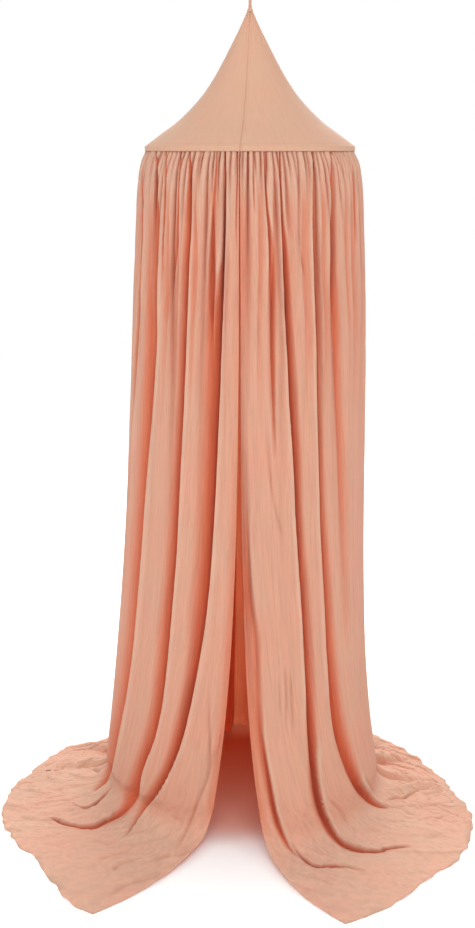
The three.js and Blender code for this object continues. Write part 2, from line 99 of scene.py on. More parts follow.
# Each curtain: the side that it hangs on, the seed of its random folds, and how late its column
# flares at the side seam and at the other edge. Foot and hem say how far these stand out, at even
# steps from the side seam to the other edge. A front curtain has the depth by which its free edge is
# turned back, and the drift of its mesh; a back one its valleys and how deep its folds are.
CURTAINS = {
    "curtain_front_left": {
        "side": -1, "front": True, "seed": 11, "flare": (2.4, 2.4), "turned": 0.006,
        "drift": (0, 0.03, 0.07, 0.19, 0.23, 0.26, 0.2, 0.32, 0.36),
        "foot": (0.985, 1, 1.01, 1.02, 1.03, 1.035, 1.035),
        "hem": (0.742, 0.787, 0.83, 0.855, 0.868, 0.93, 1.01),
    },
    "curtain_front_right": {
        "side": 1, "front": True, "seed": 23, "flare": (6, 6), "turned": 0.012,
        "drift": (0, 0.07, 0.09, 0.1, 0.14, 0.18, 0.17, 0.28, 0.34),
        "foot": (0.89, 0.92, 0.97, 1.02, 1.07, 1.11, 1.14),
        "hem": (0.67, 0.74, 0.785, 0.848, 0.866, 0.94, 0.995),
    },
    "curtain_back_left": {
        "side": -1, "front": False, "seed": 37, "flare": (2.4, 4),
        "valleys": (0, 0.19, 0.41, 0.6, 0.82, 1),
        "depths": (1, 0.95, 0.85, 1, 0.8),
        "foot": (0.985, 0.97, 0.94, 0.91, 0.875, 0.843, 0.833),
        "hem": (0.742, 0.7, 0.61, 0.6, 0.6, 0.62, 0.63),
    },
    "curtain_back_right": {
        "side": 1, "front": False, "seed": 41, "flare": (6, 4),
        "valleys": (0, 0.22, 0.4, 0.62, 0.8, 1),
        "depths": (1, 0.95, 1, 0.9, 0.8),
        "foot": (0.89, 0.875, 0.86, 0.85, 0.843, 0.836, 0.833),
        "hem": (0.67, 0.625, 0.6, 0.598, 0.6, 0.62, 0.63),
    },
}

# Curves of the folds' steep and slow sides; the cloth bends more sharply than the CAD solid
RISE_POWER = 1.2
FALL_POWER = 1.1

# Mesh of a curtain: its columns and rows, the share of its faces that is kept, its size in its UV
# map, and at shares of the rows, the stage that the cloth has reached: 0 at the gathers, 1 where the
# column ends, 2 where the cloth lies on the floor and 3 at the hem
CURTAIN_GRID = (460, 280)
KEPT_FACES = 0.37
CURTAIN_UV = (1.1, 2.04)
ROW_SHARES = (0, 0.1, 0.25, 0.5, 0.64, 1)
ROW_STAGES = (0, 0.05, 0.27, 1, 2, 3)

# The columns of a front curtain's mesh drift towards the side seam, so that they follow its folds:
# the stages at which the curtain's own table gives that drift
DRIFT_STAGES = (0, 0.5, 0.75, 1, 1.3, 1.8, 2.25, 2.6, 3)

# The valleys of the front curtains' folds, read off the photograph in pixels of its 475 by
# 928 frame. First the share of painted shade, in the gathers' colour, along the bottom, then points
# down the valley: column, row, how far the cloth takes to rise on the left and on the right of the
# way down, and the valley's depth as a share of the room that the fold has.
VALLEYS = {
    "curtain_front_left": (
        (0.30, ((157.5, 144, 2, 2, 0.5), (158.5, 170, 3, 2.5, 0.7), (158, 200, 6, 3, 0.8),
                (157, 240, 9, 3, 0.8), (156.5, 290, 12, 3.5, 0.85), (156, 340, 14, 4, 0.9),
                (151, 400, 13, 4, 0.9), (144.5, 480, 12, 4, 0.9), (139.5, 560, 12, 4, 0.9),
                (132.5, 640, 11, 4, 0.9), (124, 700, 10, 4, 0.9), (117, 740, 9, 3.5, 0.9),
                (111.5, 768, 8, 3, 0.85), (106, 780, 8, 4, 0.8), (99, 786, 6, 4, 0.6),
                (91, 791, 4, 4, 0))),
        (0.30, ((191.5, 144, 2, 2, 0.5), (191, 180, 4, 2.5, 0.7), (190, 220, 6, 3, 0.8),
                (187.5, 270, 8, 3, 0.85), (185.5, 330, 9, 3.5, 0.9), (182.5, 400, 9, 4, 0.9),
                (178, 480, 10, 4, 0.9), (174, 560, 11, 4, 0.9), (167, 640, 12, 4, 0.9),
                (160.5, 700, 12, 4, 0.9), (152.5, 740, 13, 4, 0.9), (142, 768, 12, 4, 0.9),
                (136, 786, 12, 5, 0.9), (131, 800, 12, 7, 0.9), (120, 811, 6, 9, 0.9),
                (106, 819, 3, 9, 0.9), (91, 825, 2.5, 7, 0.8), (72, 824.5, 2.5, 5, 0.7),
                (55, 819.5, 3, 4, 0.5), (42, 814, 3, 3, 0))),
        (0.30, ((225, 144, 2, 2, 0.5), (226, 175, 3, 2.5, 0.7), (225, 200, 3, 3, 0.8),
                (223.5, 240, 3, 3.5, 0.8), (222, 280, 6, 3.5, 0.85), (220.5, 320, 14, 3.5, 0.9),
                (217.5, 400, 19, 4, 0.85), (214, 480, 20, 4, 0.85), (209.5, 560, 20, 4, 0.9),
                (203, 620, 18, 4.5, 0.9), (196, 665, 13, 4.5, 0.9), (188, 705, 12, 4.5, 0.9),
                (177.5, 745, 11, 4.5, 0.9), (168, 772, 10, 3.5, 0.9), (159, 789, 11, 3, 0.85),
                (150.5, 802, 10, 3, 0.8), (140, 815, 8, 2.5, 0.6), (130, 829, 5, 2.5, 0.3),
                (124, 838, 4, 2.5, 0))),
        (0.20, ((144, 165, 1.5, 1.5, 0), (143, 190, 2, 2, 0.3), (142, 240, 2, 2, 0.3),
                (138.5, 310, 2, 2, 0.3), (134.5, 390, 3, 2, 0.3), (131, 450, 3, 2, 0.2),
                (128, 510, 3, 2, 0))),
        (0.25, ((168, 146, 2, 2, 0.4), (166.5, 180, 2, 2.5, 0.4), (163.5, 230, 2, 2, 0.35),
                (162, 280, 2, 2, 0))),
        (0.15, ((182, 146, 2, 2, 0.4), (180, 190, 3.5, 2, 0.35), (177, 245, 5, 2, 0.3),
                (171, 290, 6, 2, 0.15), (167, 325, 6, 2, 0))),
        (0.10, ((218, 146, 2, 2, 0.4), (215, 190, 3, 4, 0.5), (211.5, 240, 4, 6, 0.5),
                (210.5, 290, 5, 8, 0.5), (210, 340, 6, 8, 0.3), (209, 380, 6, 8, 0))),
        (0.30, ((238, 146, 2, 2, 0.5), (237.5, 178, 2, 2, 0.4), (236, 215, 2, 2, 0.2),
                (236, 250, 2, 2, 0))),
        (0.25, ((112, 785, 2, 3, 0), (105, 793, 2, 4, 0.35), (95, 803, 2, 4, 0.5),
                (86, 807, 2, 4, 0.5), (78, 805.5, 2, 3, 0.35), (71, 799, 2, 3, 0))),
    ),
    "curtain_front_right": (
        (0.25, ((246, 500, 3, 3, 0), (248.5, 560, 6, 4, 0.15), (250.5, 600, 8, 5, 0.25),
                (256, 640, 9, 6, 0.25), (257.5, 680, 9, 6, 0.25), (260, 720, 9, 5, 0.3),
                (262.5, 740, 9, 4, 0.4), (270, 780, 9, 3, 0.6), (277, 815, 8, 3, 0.7),
                (287, 842, 7, 3, 0.5), (294, 852, 5, 2.5, 0.3), (299, 857, 4, 2.5, 0))),
        (0.25, ((263.5, 144, 2, 2, 0.4), (265, 180, 2, 2.5, 0.5), (266.5, 205, 2, 3.5, 0.6),
                (269.5, 240, 3, 5, 0.5), (271.5, 290, 5, 6, 0.4), (272.5, 350, 6, 5, 0.3),
                (274, 410, 5, 4, 0.2), (275, 460, 4, 4, 0))),
        (0.35, ((279, 144, 2, 2, 0.5), (280, 180, 2, 2.5, 0.6), (281.5, 210, 2.5, 3.5, 0.7),
                (283.5, 245, 3, 5, 0.8), (286, 300, 3, 7, 0.85), (288.5, 350, 3, 8, 0.9),
                (291, 405, 3.5, 9, 0.9), (294.5, 460, 3.5, 9, 0.9), (296.5, 510, 3.5, 8, 0.9),
                (299.5, 560, 3.5, 9, 0.9), (303.5, 620, 3.5, 9.5, 0.9), (306.5, 670, 4, 9.5, 0.9),
                (310, 715, 5, 8, 0.9), (314, 750, 8, 5, 0.95), (317.5, 775, 11, 3, 0.95),
                (320.5, 795, 12, 3, 0.95), (325, 811, 12, 2.5, 0.95), (331.5, 826, 11, 2.5, 0.95),
                (340, 838, 9, 2.5, 0.9), (350, 844, 7, 2.5, 0.85), (363, 848.5, 6, 2.5, 0.8),
                (377, 849.5, 6, 2.5, 0.7), (391, 847, 5, 2.5, 0.6), (402, 846.5, 5, 3, 0.4),
                (414, 846, 5, 3, 0))),
        (0.30, ((312, 144, 2, 2, 0.4), (312.5, 180, 2, 4, 0.6), (313.5, 230, 3, 5, 0.8),
                (315, 280, 3, 6, 0.85), (317, 340, 3, 7, 0.9), (317.8, 400, 3, 7, 0.9),
                (319.5, 470, 3, 7, 0.9), (322, 530, 3.5, 8, 0.9), (325, 580, 3.5, 9, 0.9),
                (328.5, 640, 4, 10, 0.9), (333.5, 690, 5, 10, 0.9), (340, 730, 8, 10, 0.9),
                (349, 758, 10, 8, 0.9), (358, 778, 11, 5, 0.9), (366, 791, 11, 3.5, 0.9),
                (373, 799, 9, 3, 0.85), (380, 804, 7, 3, 0.6), (390, 807, 5, 4, 0))),
        (0.12, ((328.5, 144, 2, 2, 0.5), (331, 175, 3, 3.5, 0.5), (332.5, 220, 4, 5, 0.5),
                (333.5, 270, 5, 5, 0.45), (335.5, 320, 6, 6, 0.3), (338, 380, 6, 7, 0.3),
                (340.5, 440, 6, 7, 0.3), (342.5, 510, 6, 7, 0.2), (344.5, 575, 6, 7, 0.1),
                (347, 650, 5, 6, 0))),
        (0.25, ((351, 160, 2, 2, 0), (352.5, 185, 2, 2, 0.4), (354.5, 215, 2, 2, 0.3),
                (356, 245, 2, 2, 0))),
        (0.30, ((248.5, 144, 1.5, 1.5, 0.3), (248.5, 172, 2, 2, 0.2), (248, 190, 2, 2, 0))),
        (0.30, ((253, 144, 1.5, 1.5, 0.4), (253.5, 190, 2, 2.5, 0.3), (255, 215, 2, 2, 0))),
        (0.45, ((292, 842, 4, 3, 0), (299, 853, 4, 2.5, 0.3), (308, 860.5, 4, 2.5, 0.5),
                (316, 864.5, 4, 2.5, 0.6), (326, 864.5, 4, 2.5, 0.5), (340, 864, 5, 3, 0.35),
                (355, 867, 5, 3, 0.2), (369, 871, 5, 3, 0))),
        (0.15, ((383, 801, 3, 3, 0), (394, 797.5, 3, 3, 0.4), (403, 798, 3, 3, 0.5),
                (411, 793, 3, 3, 0.4), (422, 789, 3, 3, 0.2), (436, 791, 3, 3, 0))),
    ),
}
VALLEY_SHARE = 0.62  # depth of a full valley, as a share of how far the crests stand out
VALLEY_ROOM = 0.009  # depth that a full valley has where the folds themselves are shallower
VALLEY_CORE = 1.2  # half the width of the painted shade along a valley's bottom, in pixels
STEEP_WIDTH = 3.5  # up to this width in pixels, a valley's side is steep and has a lip
SOFT_WIDTH = 6  # from this width on, a side is soft
LIP_HEIGHT = 0.0025  # how far the cloth bulges beside a steep side
FACE_TONE = 0.33  # how far painted shade takes the faces of the folds towards the deep colour
MIDDLE_CREST = 0.6  # how far the crests stand out beside the opening, as a share of the fold depth
SEAM_CREST = 0.5  # how far the cloth stands out at the side seams, as a share of the fold depth

# Creases of the front curtains, read in the same way: height in metres, width in pixels, and line
CREASES = {
    "curtain_front_left": (
        (-0.005, 1.5, ((208, 655), (208.6, 700), (209, 745), (208.6, 766), (205, 783), (199, 797),
                       (193.6, 811), (186, 829), (179, 843), (172, 852))),
        (-0.003, 1.3, ((221, 722), (219, 744), (213.6, 757), (209, 770))),
        (-0.003, 1.3, ((192, 747), (200, 745))),
        (-0.003, 1.2, ((221, 783), (216, 808), (211, 825), (204, 834), (199, 846), (188, 851))),
        (-0.007, 1.4, ((81, 762), (90, 767), (102, 772))),
        (0.006, 2.0, ((58, 756), (66, 751), (78, 752.5))),
        (-0.003, 1.2, ((65, 760), (80, 765))),
        (-0.005, 2.5, ((104, 901), (115, 891), (124, 884), (138, 879), (160, 872), (178, 864))),
        (-0.005, 1.4, ((112, 870), (120, 862.5), (136, 857))),
        (-0.006, 1.8, ((146, 861), (159, 855), (169, 853), (179, 854), (190, 850), (198, 844))),
        (-0.003, 1.3, ((169, 815.5), (177, 818.5), (185, 824.5))),
        (-0.003, 1.3, ((174, 793), (187, 795))),
        (-0.003, 1.3, ((96, 862), (108, 856), (122, 851), (134, 845))),
        (-0.003, 1.3, ((84, 838), (104, 841), (122, 838))),
    ),
    "curtain_front_right": (
        (-0.003, 1.3, ((284.5, 664), (286.5, 698), (285.5, 734))),
        (-0.003, 1.3, ((289.5, 668), (292, 700), (293.5, 741))),
        (-0.002, 1.3, ((279, 676), (280, 700), (279, 722))),
        (-0.003, 1.3, ((267, 432), (269, 460), (272, 490), (276, 512), (281, 530), (285, 552))),
        (-0.003, 1.2, ((299, 225), (301, 250), (305.5, 280))),
        (-0.007, 1.4, ((401, 765), (404, 771), (410, 780))),
        (0.009, 3.0, ((380, 794), (392, 791), (402, 790), (411, 786), (425, 784), (437, 786), (448, 791))),
        (-0.004, 1.4, ((410, 776), (424, 780), (438, 782), (450, 787))),
        (-0.005, 1.3, ((455, 792), (461, 803), (465, 811))),
        (-0.003, 1.3, ((364, 826), (372, 830), (383, 832.5))),
        (-0.004, 1.5, ((329, 799), (336, 806), (343, 814), (350, 827))),
        (-0.003, 1.3, ((364, 776), (371, 786), (377, 794))),
        (-0.003, 1.6, ((380, 762), (390, 769), (400, 774))),
        (-0.002, 1.5, ((312, 876), (326, 880), (334, 886))),
    ),
}
CREASE_RELIEF = 1.5  # the creases are raised this much over what was read

# Gathers: the share of them up to a kind, and how far down that kind reaches at least and at most
PLEAT_KINDS = ((0.55, 0.04, 0.09), (0.85, 0.12, 0.26), (1, 0.35, 0.7))
LONG_PLEAT = 0.12
SMALL_FOLDS = 11  # folds of middle size in each curtain

# Relief of the cloth
HEAD_BULGE = 0.0045  # how far the gathered heading stands out under the casing
RIPPLE = 0.003  # height of the broad ripples of the hanging cloth
WRINKLE = 0.004  # height of the slanted wrinkles of the train
WRINKLE_CREASE = 0.0025
RAGGED_HEM = ((0.007, 12), (0.004, 37))  # depth of the hem's scallops, and how many there are

# Crown, from the same values as the CAD source
CROWN_HEIGHT = 0.320
CROWN_TIP_RADIUS = 0.0062
CROWN_RADII = (0.86, 0.718, 0.58, 0.455, 0.358, 0.27, 0.19, 0.107, 0.025)
CROWN_HEIGHTS = (0.11, 0.19, 0.29, 0.4, 0.51, 0.627, 0.744, 0.87, 1)

# Crown and casing as they are sewn
CASING_LAP = ((0.0051, -0.0056), (0.0054, -0.001), (0.0050, 0.0035), (0.0036, 0.0068))
CASING_HALF = (0.0045, 0.0056)  # half the casing's width and height
CASING_FLAT = (0.037, 1.55)
CASING_FEED = 0.006  # half the gap through which the rods are fed
CASING_SEED, GORE_SEED = 5, 50
# From the gores' lower edge up to the stitches that close the casing, and from a seam to its stitches
CASING_STITCH, SEAM_STITCH = 0.024, 0.006
GORE_FLAT = (0.39, 0.43)

# Route of the hanging cord, as the CAD source has it
CORD_HALF_ROUTE = (
    (0.0019, -0.1134), (0.0019, -0.104), (0.0019, -0.094), (0.00195, -0.084), (0.0023, -0.074),
    (0.0033, -0.063), (0.0049, -0.052), (0.0064, -0.043), (0.0071, -0.0365), (0.0051, -0.0318),
)
CORD_TOP = -0.0296
CORD_DIAMETER = 0.0035
CORD_STRANDS = 3
CORD_LAY = 0.011  # length over which a strand goes round once

# Bound tip: the turns of thread round it and the pleats in it, its radius at the neck, how much
# thinner it is at the top, and the relief of its pleats and its thread
WHIPPINGS = 11
TIP_RADIUS = 0.0072
TIP_TAPER = 0.0029
TIP_PLEAT = 0.00035
TIP_THREAD = 0.00022
TIP_OVER = 0.0006  # how far it reaches over the CAD's binding

# Camera of the photograph
CAMERA_PLACE = (0.323, -3.696, -0.447)
CAMERA_PITCH = math.radians(11.96)
CAMERA_TURN = math.radians(5.46)
CAMERA_LENS = 57.7
CAMERA_SENSOR = 36
PHOTO_SIZE = (475, 928)
PHOTO_PIXELS = CAMERA_LENS / CAMERA_SENSOR * PHOTO_SIZE[1]  # at one metre, for each metre across

# Studio
FLOOR_HALF = 8  # half the width of the floor
LAMP_AIM_DROP = 0.75  # from the hoop down to the point that the lamps face
RIGHT_SHARE = 0.65  # power of the lamp at the right, as a share of the left one's
FLOOR_GLOW = "#E4946C"  # light that came through the cloth, on the floor inside the canopy


# Settings


def length(name, description, default):
    return bpy.props.FloatProperty(
        name=name, description=description, default=default, min=0, precision=4,
        subtype="DISTANCE", unit="LENGTH",
    )


def colour(name, description, hex_code):
    return bpy.props.FloatVectorProperty(
        name=name, description=description, default=linear(hex_code)[:3], size=3, min=0, max=1,
        subtype="COLOR",
    )


def number(name, description, default):
    return bpy.props.FloatProperty(name=name, description=description, default=default, min=0)


def linear(hex_code):
    """An sRGB hex colour as a linear colour with alpha."""
    shares = [int(hex_code[i : i + 2], 16) / 255 for i in (1, 3, 5)]
    return tuple(s / 12.92 if s <= 0.04045 else ((s + 0.055) / 1.055) ** 2.4 for s in shares) + (1,)


class ClothSizes(bpy.types.PropertyGroup):
    """Sizes of the cloth that a user may change."""

    thickness: length("Cloth thickness", "Thickness of the double muslin", 0.0009)
    pleat_pitch: length("Gather pitch", "Distance between the fine gathers at the hoop", 0.0125)
    pleat_depth: length("Gather depth", "Depth of the fine gathers just under the hoop", 0.009)
    small_fold: length("Small fold depth", "Depth of the folds that the gathers run into", 0.005)
    crinkle: length("Crinkle height", "Height of the muslin's fine crinkles", 0.0015)


class CanopyColours(bpy.types.PropertyGroup):
    """Colours that a user may change."""

    crest: colour("Curtain, lit", "Muslin on the crests of the folds", "#E6BDA4")
    # painted shade: the deep, saturated colour that light bounced about in the folds gives the muslin
    valley: colour("Curtain, painted fold shade", "Painted shade deep in the folds", "#DD7450")
    # painted shade: the dark colour down in the gathers and creases, and in the crown's seam grooves
    hollow_shade: colour("Curtain, painted gather shade", "Painted shade in the gathers, creases and seams", "#B85A3F")
    inside: colour("Curtain, inside", "The inner face, with light coming through", "#F3AC8C")
    crown: colour("Crown", "Muslin of the crown and the casing", "#D2A78D")
    cord: colour("Cord", "Twisted cotton cord", "#C98F78")
    steel: colour("Steel", "Nickel-plated plate and hook", "#C9C7C2")
    zinc: colour("Zinc", "Zinc-plated screws", "#B9B6AD")
    rod: colour("Rod", "Drawn spring-steel rods", "#8F9296")
    brass: colour("Brass", "Turned brass sleeves", "#B08D57")
    floor: colour("Floor", "Studio floor", "#F7F7F6")


class StageSettings(bpy.types.PropertyGroup):
    """Light of the studio."""

    world: number("World strength", "Strength of the even white surround", 0.62)
    key: number("Key power", "Power of the large front lamp, in watts", 67)
    side: number("Side power", "Power of the side lamps, in watts", 22)
    top: number("Top power", "Power of the large lamp overhead, in watts", 19)
    back: number("Back power", "Power of the large lamp behind, in watts", 170)
    lift: number("Backdrop lift", "White that only the camera sees added to the open floor", 0.45)


# Curves and places


def smooth(value, low=0.0, high=1.0):
    """0 below low, 1 above high, and a smooth step between."""
    share = np.clip((value - low) / (high - low), 0, 1)
    return share * share * (3 - 2 * share)


def bell(distance, width):
    """1 at no distance, and close to 0 from two widths on."""
    return np.exp(-((distance / width) ** 2))


def curve(a, b, c, d, t):
    """The smooth curve through four even values, at a share t of the way from b to c."""
    return 0.5 * (2 * b + (c - a) * t + (2 * a - 5 * b + 4 * c - d) * t**2
                  + (3 * b - a - 3 * c + d) * t**3)


def smooth_value(values, share):
    """A table of evenly spaced values at a share of its length, on a curve level at both ends."""
    table = np.array([values[1], *values, values[-2]], float)
    place = np.clip(share, 0, 1) * (len(values) - 1)
    i = np.minimum(place.astype(int), len(values) - 2)
    return curve(*(table[i + k] for k in range(4)), place - i)


def spline(points, steps):
    """Points on a smooth curve through the given ones, with steps between each two."""
    points = [np.array(p, float) for p in points]
    points = [2 * points[0] - points[1], *points, 2 * points[-1] - points[-2]]
    line = [curve(a, b, c, d, k / steps)
            for a, b, c, d in zip(points, points[1:], points[2:], points[3:]) for k in range(steps)]
    return np.array([*line, points[-2]])


def run_along(line):
    """How far along a line its points lie."""
    return np.concatenate([[0], np.cumsum(np.linalg.norm(np.diff(line, axis=0), axis=1))])


def patches(rng, across, down, columns, rows):
    """Smooth random values from -1 to 1, on cells of a sheet whose place is given in shares."""
    table = rng.uniform(-1, 1, (rows + 2, columns + 2))
    x = np.clip(across, 0, 1) * columns
    y = np.clip(down, 0, 1) * rows
    i, j = np.floor(x).astype(int), np.floor(y).astype(int)
    s, t = smooth(x - i), smooth(y - j)
    low = table[j, i] * (1 - s) + table[j, i + 1] * s
    high = table[j + 1, i] * (1 - s) + table[j + 1, i + 1] * s
    return low * (1 - t) + high * t


def place_round(radius, azimuth, level):
    """Points at radii, azimuths and levels."""
    return np.stack([radius * np.sin(azimuth), -radius * np.cos(azimuth), level], -1)


def from_axis(point):
    """The direction from the canopy's axis to a point."""
    return point.x, point.y, 0


def azimuth_between(start, end, share, radius, start_gap, end_gap):
    """The azimuth between two seams: each edge stays half a gap off its own seam."""
    turn = np.sign(end - start)
    start = start + turn * np.arcsin(start_gap / 2 / radius)
    end = end - turn * np.arcsin(end_gap / 2 / radius)
    return start + (end - start) * share


# Mesh helpers


def finish_mesh(bm, name, material):
    """The object of a finished mesh, smooth, at the origin, with its material."""
    mesh = bpy.data.meshes.new(name)
    bm.to_mesh(mesh)
    bm.free()
    mesh.polygons.foreach_set("use_smooth", [True] * len(mesh.polygons))
    mesh.materials.append(material)
    piece = bpy.data.objects.new(name, mesh)
    bpy.context.scene.collection.objects.link(piece)
    return piece


def new_grid(columns, rows):
    """A flat grid, and the places of its vertices as shares across and down."""
    bm = bmesh.new()
    bmesh.ops.create_grid(bm, x_segments=columns, y_segments=rows, size=0.5, calc_uvs=True)
    return bm, np.array([v.co[:2] for v in bm.verts]) + 0.5


def move_vertices(bm, points):
    for vert, point in zip(bm.verts, points.tolist()):
        vert.co = point


def set_uvs(bm, places):
    """Gives each vertex its place in the UV map."""
    uv = bm.loops.layers.uv.verify()
    for vert, place in zip(bm.verts, places.tolist()):
        for loop in vert.link_loops:
            loop[uv].uv = place


def grid_piece(name, grid, place, material, size=(1, 1), outward=None):
    """A grid of cloth: place turns shares across and down into points, attributes and UV shares.
    outward gives, from its middle, a direction that its faces look in."""
    columns, rows = grid
    bm, shares = new_grid(columns, rows)
    points, attributes = place(shares[:, 0], shares[:, 1])
    move_vertices(bm, points)
    bm.normal_update()
    bm.faces.ensure_lookup_table()
    middle = bm.faces[len(bm.faces) // 2 + columns // 2]
    if outward and middle.normal.dot(Vector(outward(middle.calc_center_median()))) < 0:
        bmesh.ops.reverse_faces(bm, faces=bm.faces)
    set_uvs(bm, shares * size)
    piece = finish_mesh(bm, name, material)
    for key, values in attributes.items():
        layer = piece.data.attributes.new(key, "FLOAT", "POINT")
        layer.data.foreach_set("value", values.astype(np.float32))
    return piece


def thinned(piece, share):
    """Leaves a share of a sheet's faces, most of them where it is folded and creased."""
    modifier = piece.modifiers.new("Fewer faces", "DECIMATE")
    modifier.ratio = share
    full = piece.data
    piece.data = bpy.data.meshes.new_from_object(
        piece.evaluated_get(bpy.context.evaluated_depsgraph_get()))
    piece.modifiers.clear()
    bpy.data.meshes.remove(full)
    piece.data.name = piece.name


def solidify(piece, thickness, inner=None):
    """Gives a sheet its thickness, and its inner face a material of its own if there is one."""
    modifier = piece.modifiers.new("Thickness", "SOLIDIFY")
    modifier.thickness = thickness
    modifier.offset = 0
    modifier.use_quality_normals = True
    if inner:
        piece.data.materials.append(inner)
        modifier.material_offset = 1


def tube(name, path, radius_at, sides, material):
    """A closed tube round a path. radius_at gives the radius at shares along and angles round."""
    path = np.array(path, float)
    along = np.gradient(path, axis=0)
    along /= np.linalg.norm(along, axis=1)[:, None]
    across = [np.cross(along[0], (0.0, 1.0, 0.0) if abs(along[0][1]) < 0.9 else (1.0, 0.0, 0.0))]
    for tangent in along[1:]:
        across.append(across[-1] - tangent * across[-1].dot(tangent))
    across = np.array(across)
    across /= np.linalg.norm(across, axis=1)[:, None]
    beside = np.cross(along, across)
    steps = len(path) - 1
    run = run_along(path)
    bm, shares = new_grid(sides, steps)
    row = np.rint(shares[:, 1] * steps).astype(int)
    angle = 2 * math.pi * np.rint(shares[:, 0] * sides) / sides
    radius = radius_at(run[row] / run[-1], angle)[:, None]
    move_vertices(bm, path[row] + radius * (
        np.cos(angle)[:, None] * across[row] + np.sin(angle)[:, None] * beside[row]))
    set_uvs(bm, np.stack([shares[:, 0], run[row]], -1))
    bmesh.ops.remove_doubles(bm, verts=bm.verts, dist=1e-6)
    bmesh.ops.holes_fill(bm, edges=[e for e in bm.edges if e.is_boundary], sides=0)
    bmesh.ops.recalc_face_normals(bm, faces=bm.faces)
    return finish_mesh(bm, name, material)


def fit(piece, body, node):
    """Puts a piece on its body, in the place of its solid, which it hides."""
    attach(piece, body)
    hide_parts(node)


# Materials


def add(tree, kind, settings=None, links=None):
    """Adds a shader node, sets its properties and sockets, and links sockets, or the first output of
    nodes, into it."""
    node = tree.nodes.new("ShaderNode" + kind)
    for key, value in (settings or {}).items():
        if isinstance(key, int) or key in node.inputs:
            node.inputs[key].default_value = value
        else:
            setattr(node, key, value)
    for key, source in (links or {}).items():
        output = source.outputs[0] if isinstance(source, bpy.types.Node) else source
        tree.links.new(output, node.inputs[key])
    return node


def new_material(name):
    material = bpy.data.materials.new(name)
    material.use_nodes = True
    material.node_tree.nodes.clear()
    return material, material.node_tree


def tinted(colour_value, red, green, blue):
    """A linear colour with each channel scaled, with alpha."""
    return tuple(min(1, c * f) for c, f in zip(colour_value, (red, green, blue))) + (1,)


def muslin(name, lit, deep, hollow_shade, crinkle_height, translucence):
    """Cotton double muslin, loosely woven and washed: matt, soft, with a crinkled face. Shade in its
    folds' valleys, gathers, creases and crinkles is painted into its colour.
    """
    material, tree = new_material(name)
    uv = add(tree, "UVMap")
    spot = add(tree, "TexCoord").outputs["Object"]
    depth = add(tree, "Attribute", {"attribute_name": "valley"}).outputs["Fac"]
    # broad patches of dye, 120 mm, a little pinker or paler than the rest
    dye = add(tree, "TexNoise", {"Scale": 8.0, "Detail": 3.0, "Roughness": 0.55}, {"Vector": spot})
    tone = add(tree, "MapRange", {"From Min": 0.3, "From Max": 0.7}, {"Value": dye})
    warm = add(tree, "Mix", {"data_type": "RGBA", 6: tinted(lit, 1.03, 0.955, 0.95),
                             7: tinted(lit, 0.985, 1.02, 1.0)}, {0: tone})
    # painted shade: the deep colour is mixed in where the valley attribute says the cloth lies deep in a
    # fold
    valley_shade = add(tree, "MapRange", {"From Min": 0.12, "From Max": 0.85,
                                  "interpolation_type": "SMOOTHSTEP"}, {"Value": depth})
    dye_and_shade = add(tree, "Mix", {"data_type": "RGBA", 7: (*deep, 1)}, {0: valley_shade, 6: warm.outputs[2]})
    # light scarcely reaches down into the gathers and stitched creases
    crease_shade = add(tree, "Attribute", {"attribute_name": "crease_shade"}).outputs["Fac"]
    dye_and_shade = add(tree, "Mix", {"data_type": "RGBA", 7: (*hollow_shade, 1)}, {0: crease_shade, 6: dye_and_shade.outputs[2]})
    # crinkles 9 mm across and 60 mm long, as washing leaves them along the warp
    along = add(tree, "Mapping", {"Scale": (110.0, 17.0, 1.0)}, {"Vector": uv})
    crinkles = add(tree, "TexNoise", {"noise_dimensions": "2D", "Scale": 1.0, "Detail": 4.0,
                                      "Roughness": 0.6, "Distortion": 0.4}, {"Vector": along})
    # slubs: thicker threads each 3 mm or so across the cloth
    across = add(tree, "Mapping", {"Scale": (14.0, 330.0, 1.0)}, {"Vector": uv})
    slubs = add(tree, "TexNoise", {"noise_dimensions": "2D", "Scale": 1.0, "Detail": 2.0},
                {"Vector": across})
    # threads, 0.6 mm apart; the real ones are 0.4 mm, too fine to show
    warp, weft = (add(tree, "TexWave", {"bands_direction": way, "Scale": 260.0}, {"Vector": uv})
                  for way in ("X", "Y"))
    threads = add(tree, "Math", {"operation": "MULTIPLY"},
                  {0: warp.outputs["Fac"], 1: weft.outputs["Fac"]})
    fine = add(tree, "Math", {"operation": "MULTIPLY_ADD", 1: 0.12}, {0: threads, 2: crinkles})
    height = add(tree, "Math", {"operation": "MULTIPLY_ADD", 1: 0.15}, {0: slubs, 2: fine})
    bump = add(tree, "Bump", {"Strength": 0.55, "Distance": crinkle_height}, {"Height": height})
    # painted shade: the crinkles' hollows are a little darker
    shade = add(tree, "MapRange", {"From Min": 0.3, "From Max": 0.62, "To Max": 1.02,
                                   "To Min": 1 - 55 * crinkle_height}, {"Value": crinkles})
    face = add(tree, "Mix", {"data_type": "RGBA", "blend_type": "MULTIPLY", 0: 1.0},
               {6: dye_and_shade.outputs[2], 7: shade})
    cloth = add(tree, "BsdfPrincipled",
                {"Roughness": 0.92, "Sheen Weight": 0.12, "Sheen Roughness": 0.5,
                 "Specular IOR Level": 0.2}, {"Base Color": face.outputs[2], "Normal": bump})
    through = add(tree, "BsdfTranslucent", {}, {"Color": face.outputs[2], "Normal": bump})
    both = add(tree, "MixShader", {0: translucence}, {1: cloth, 2: through})
    add(tree, "OutputMaterial", {}, {"Surface": both})
    return material


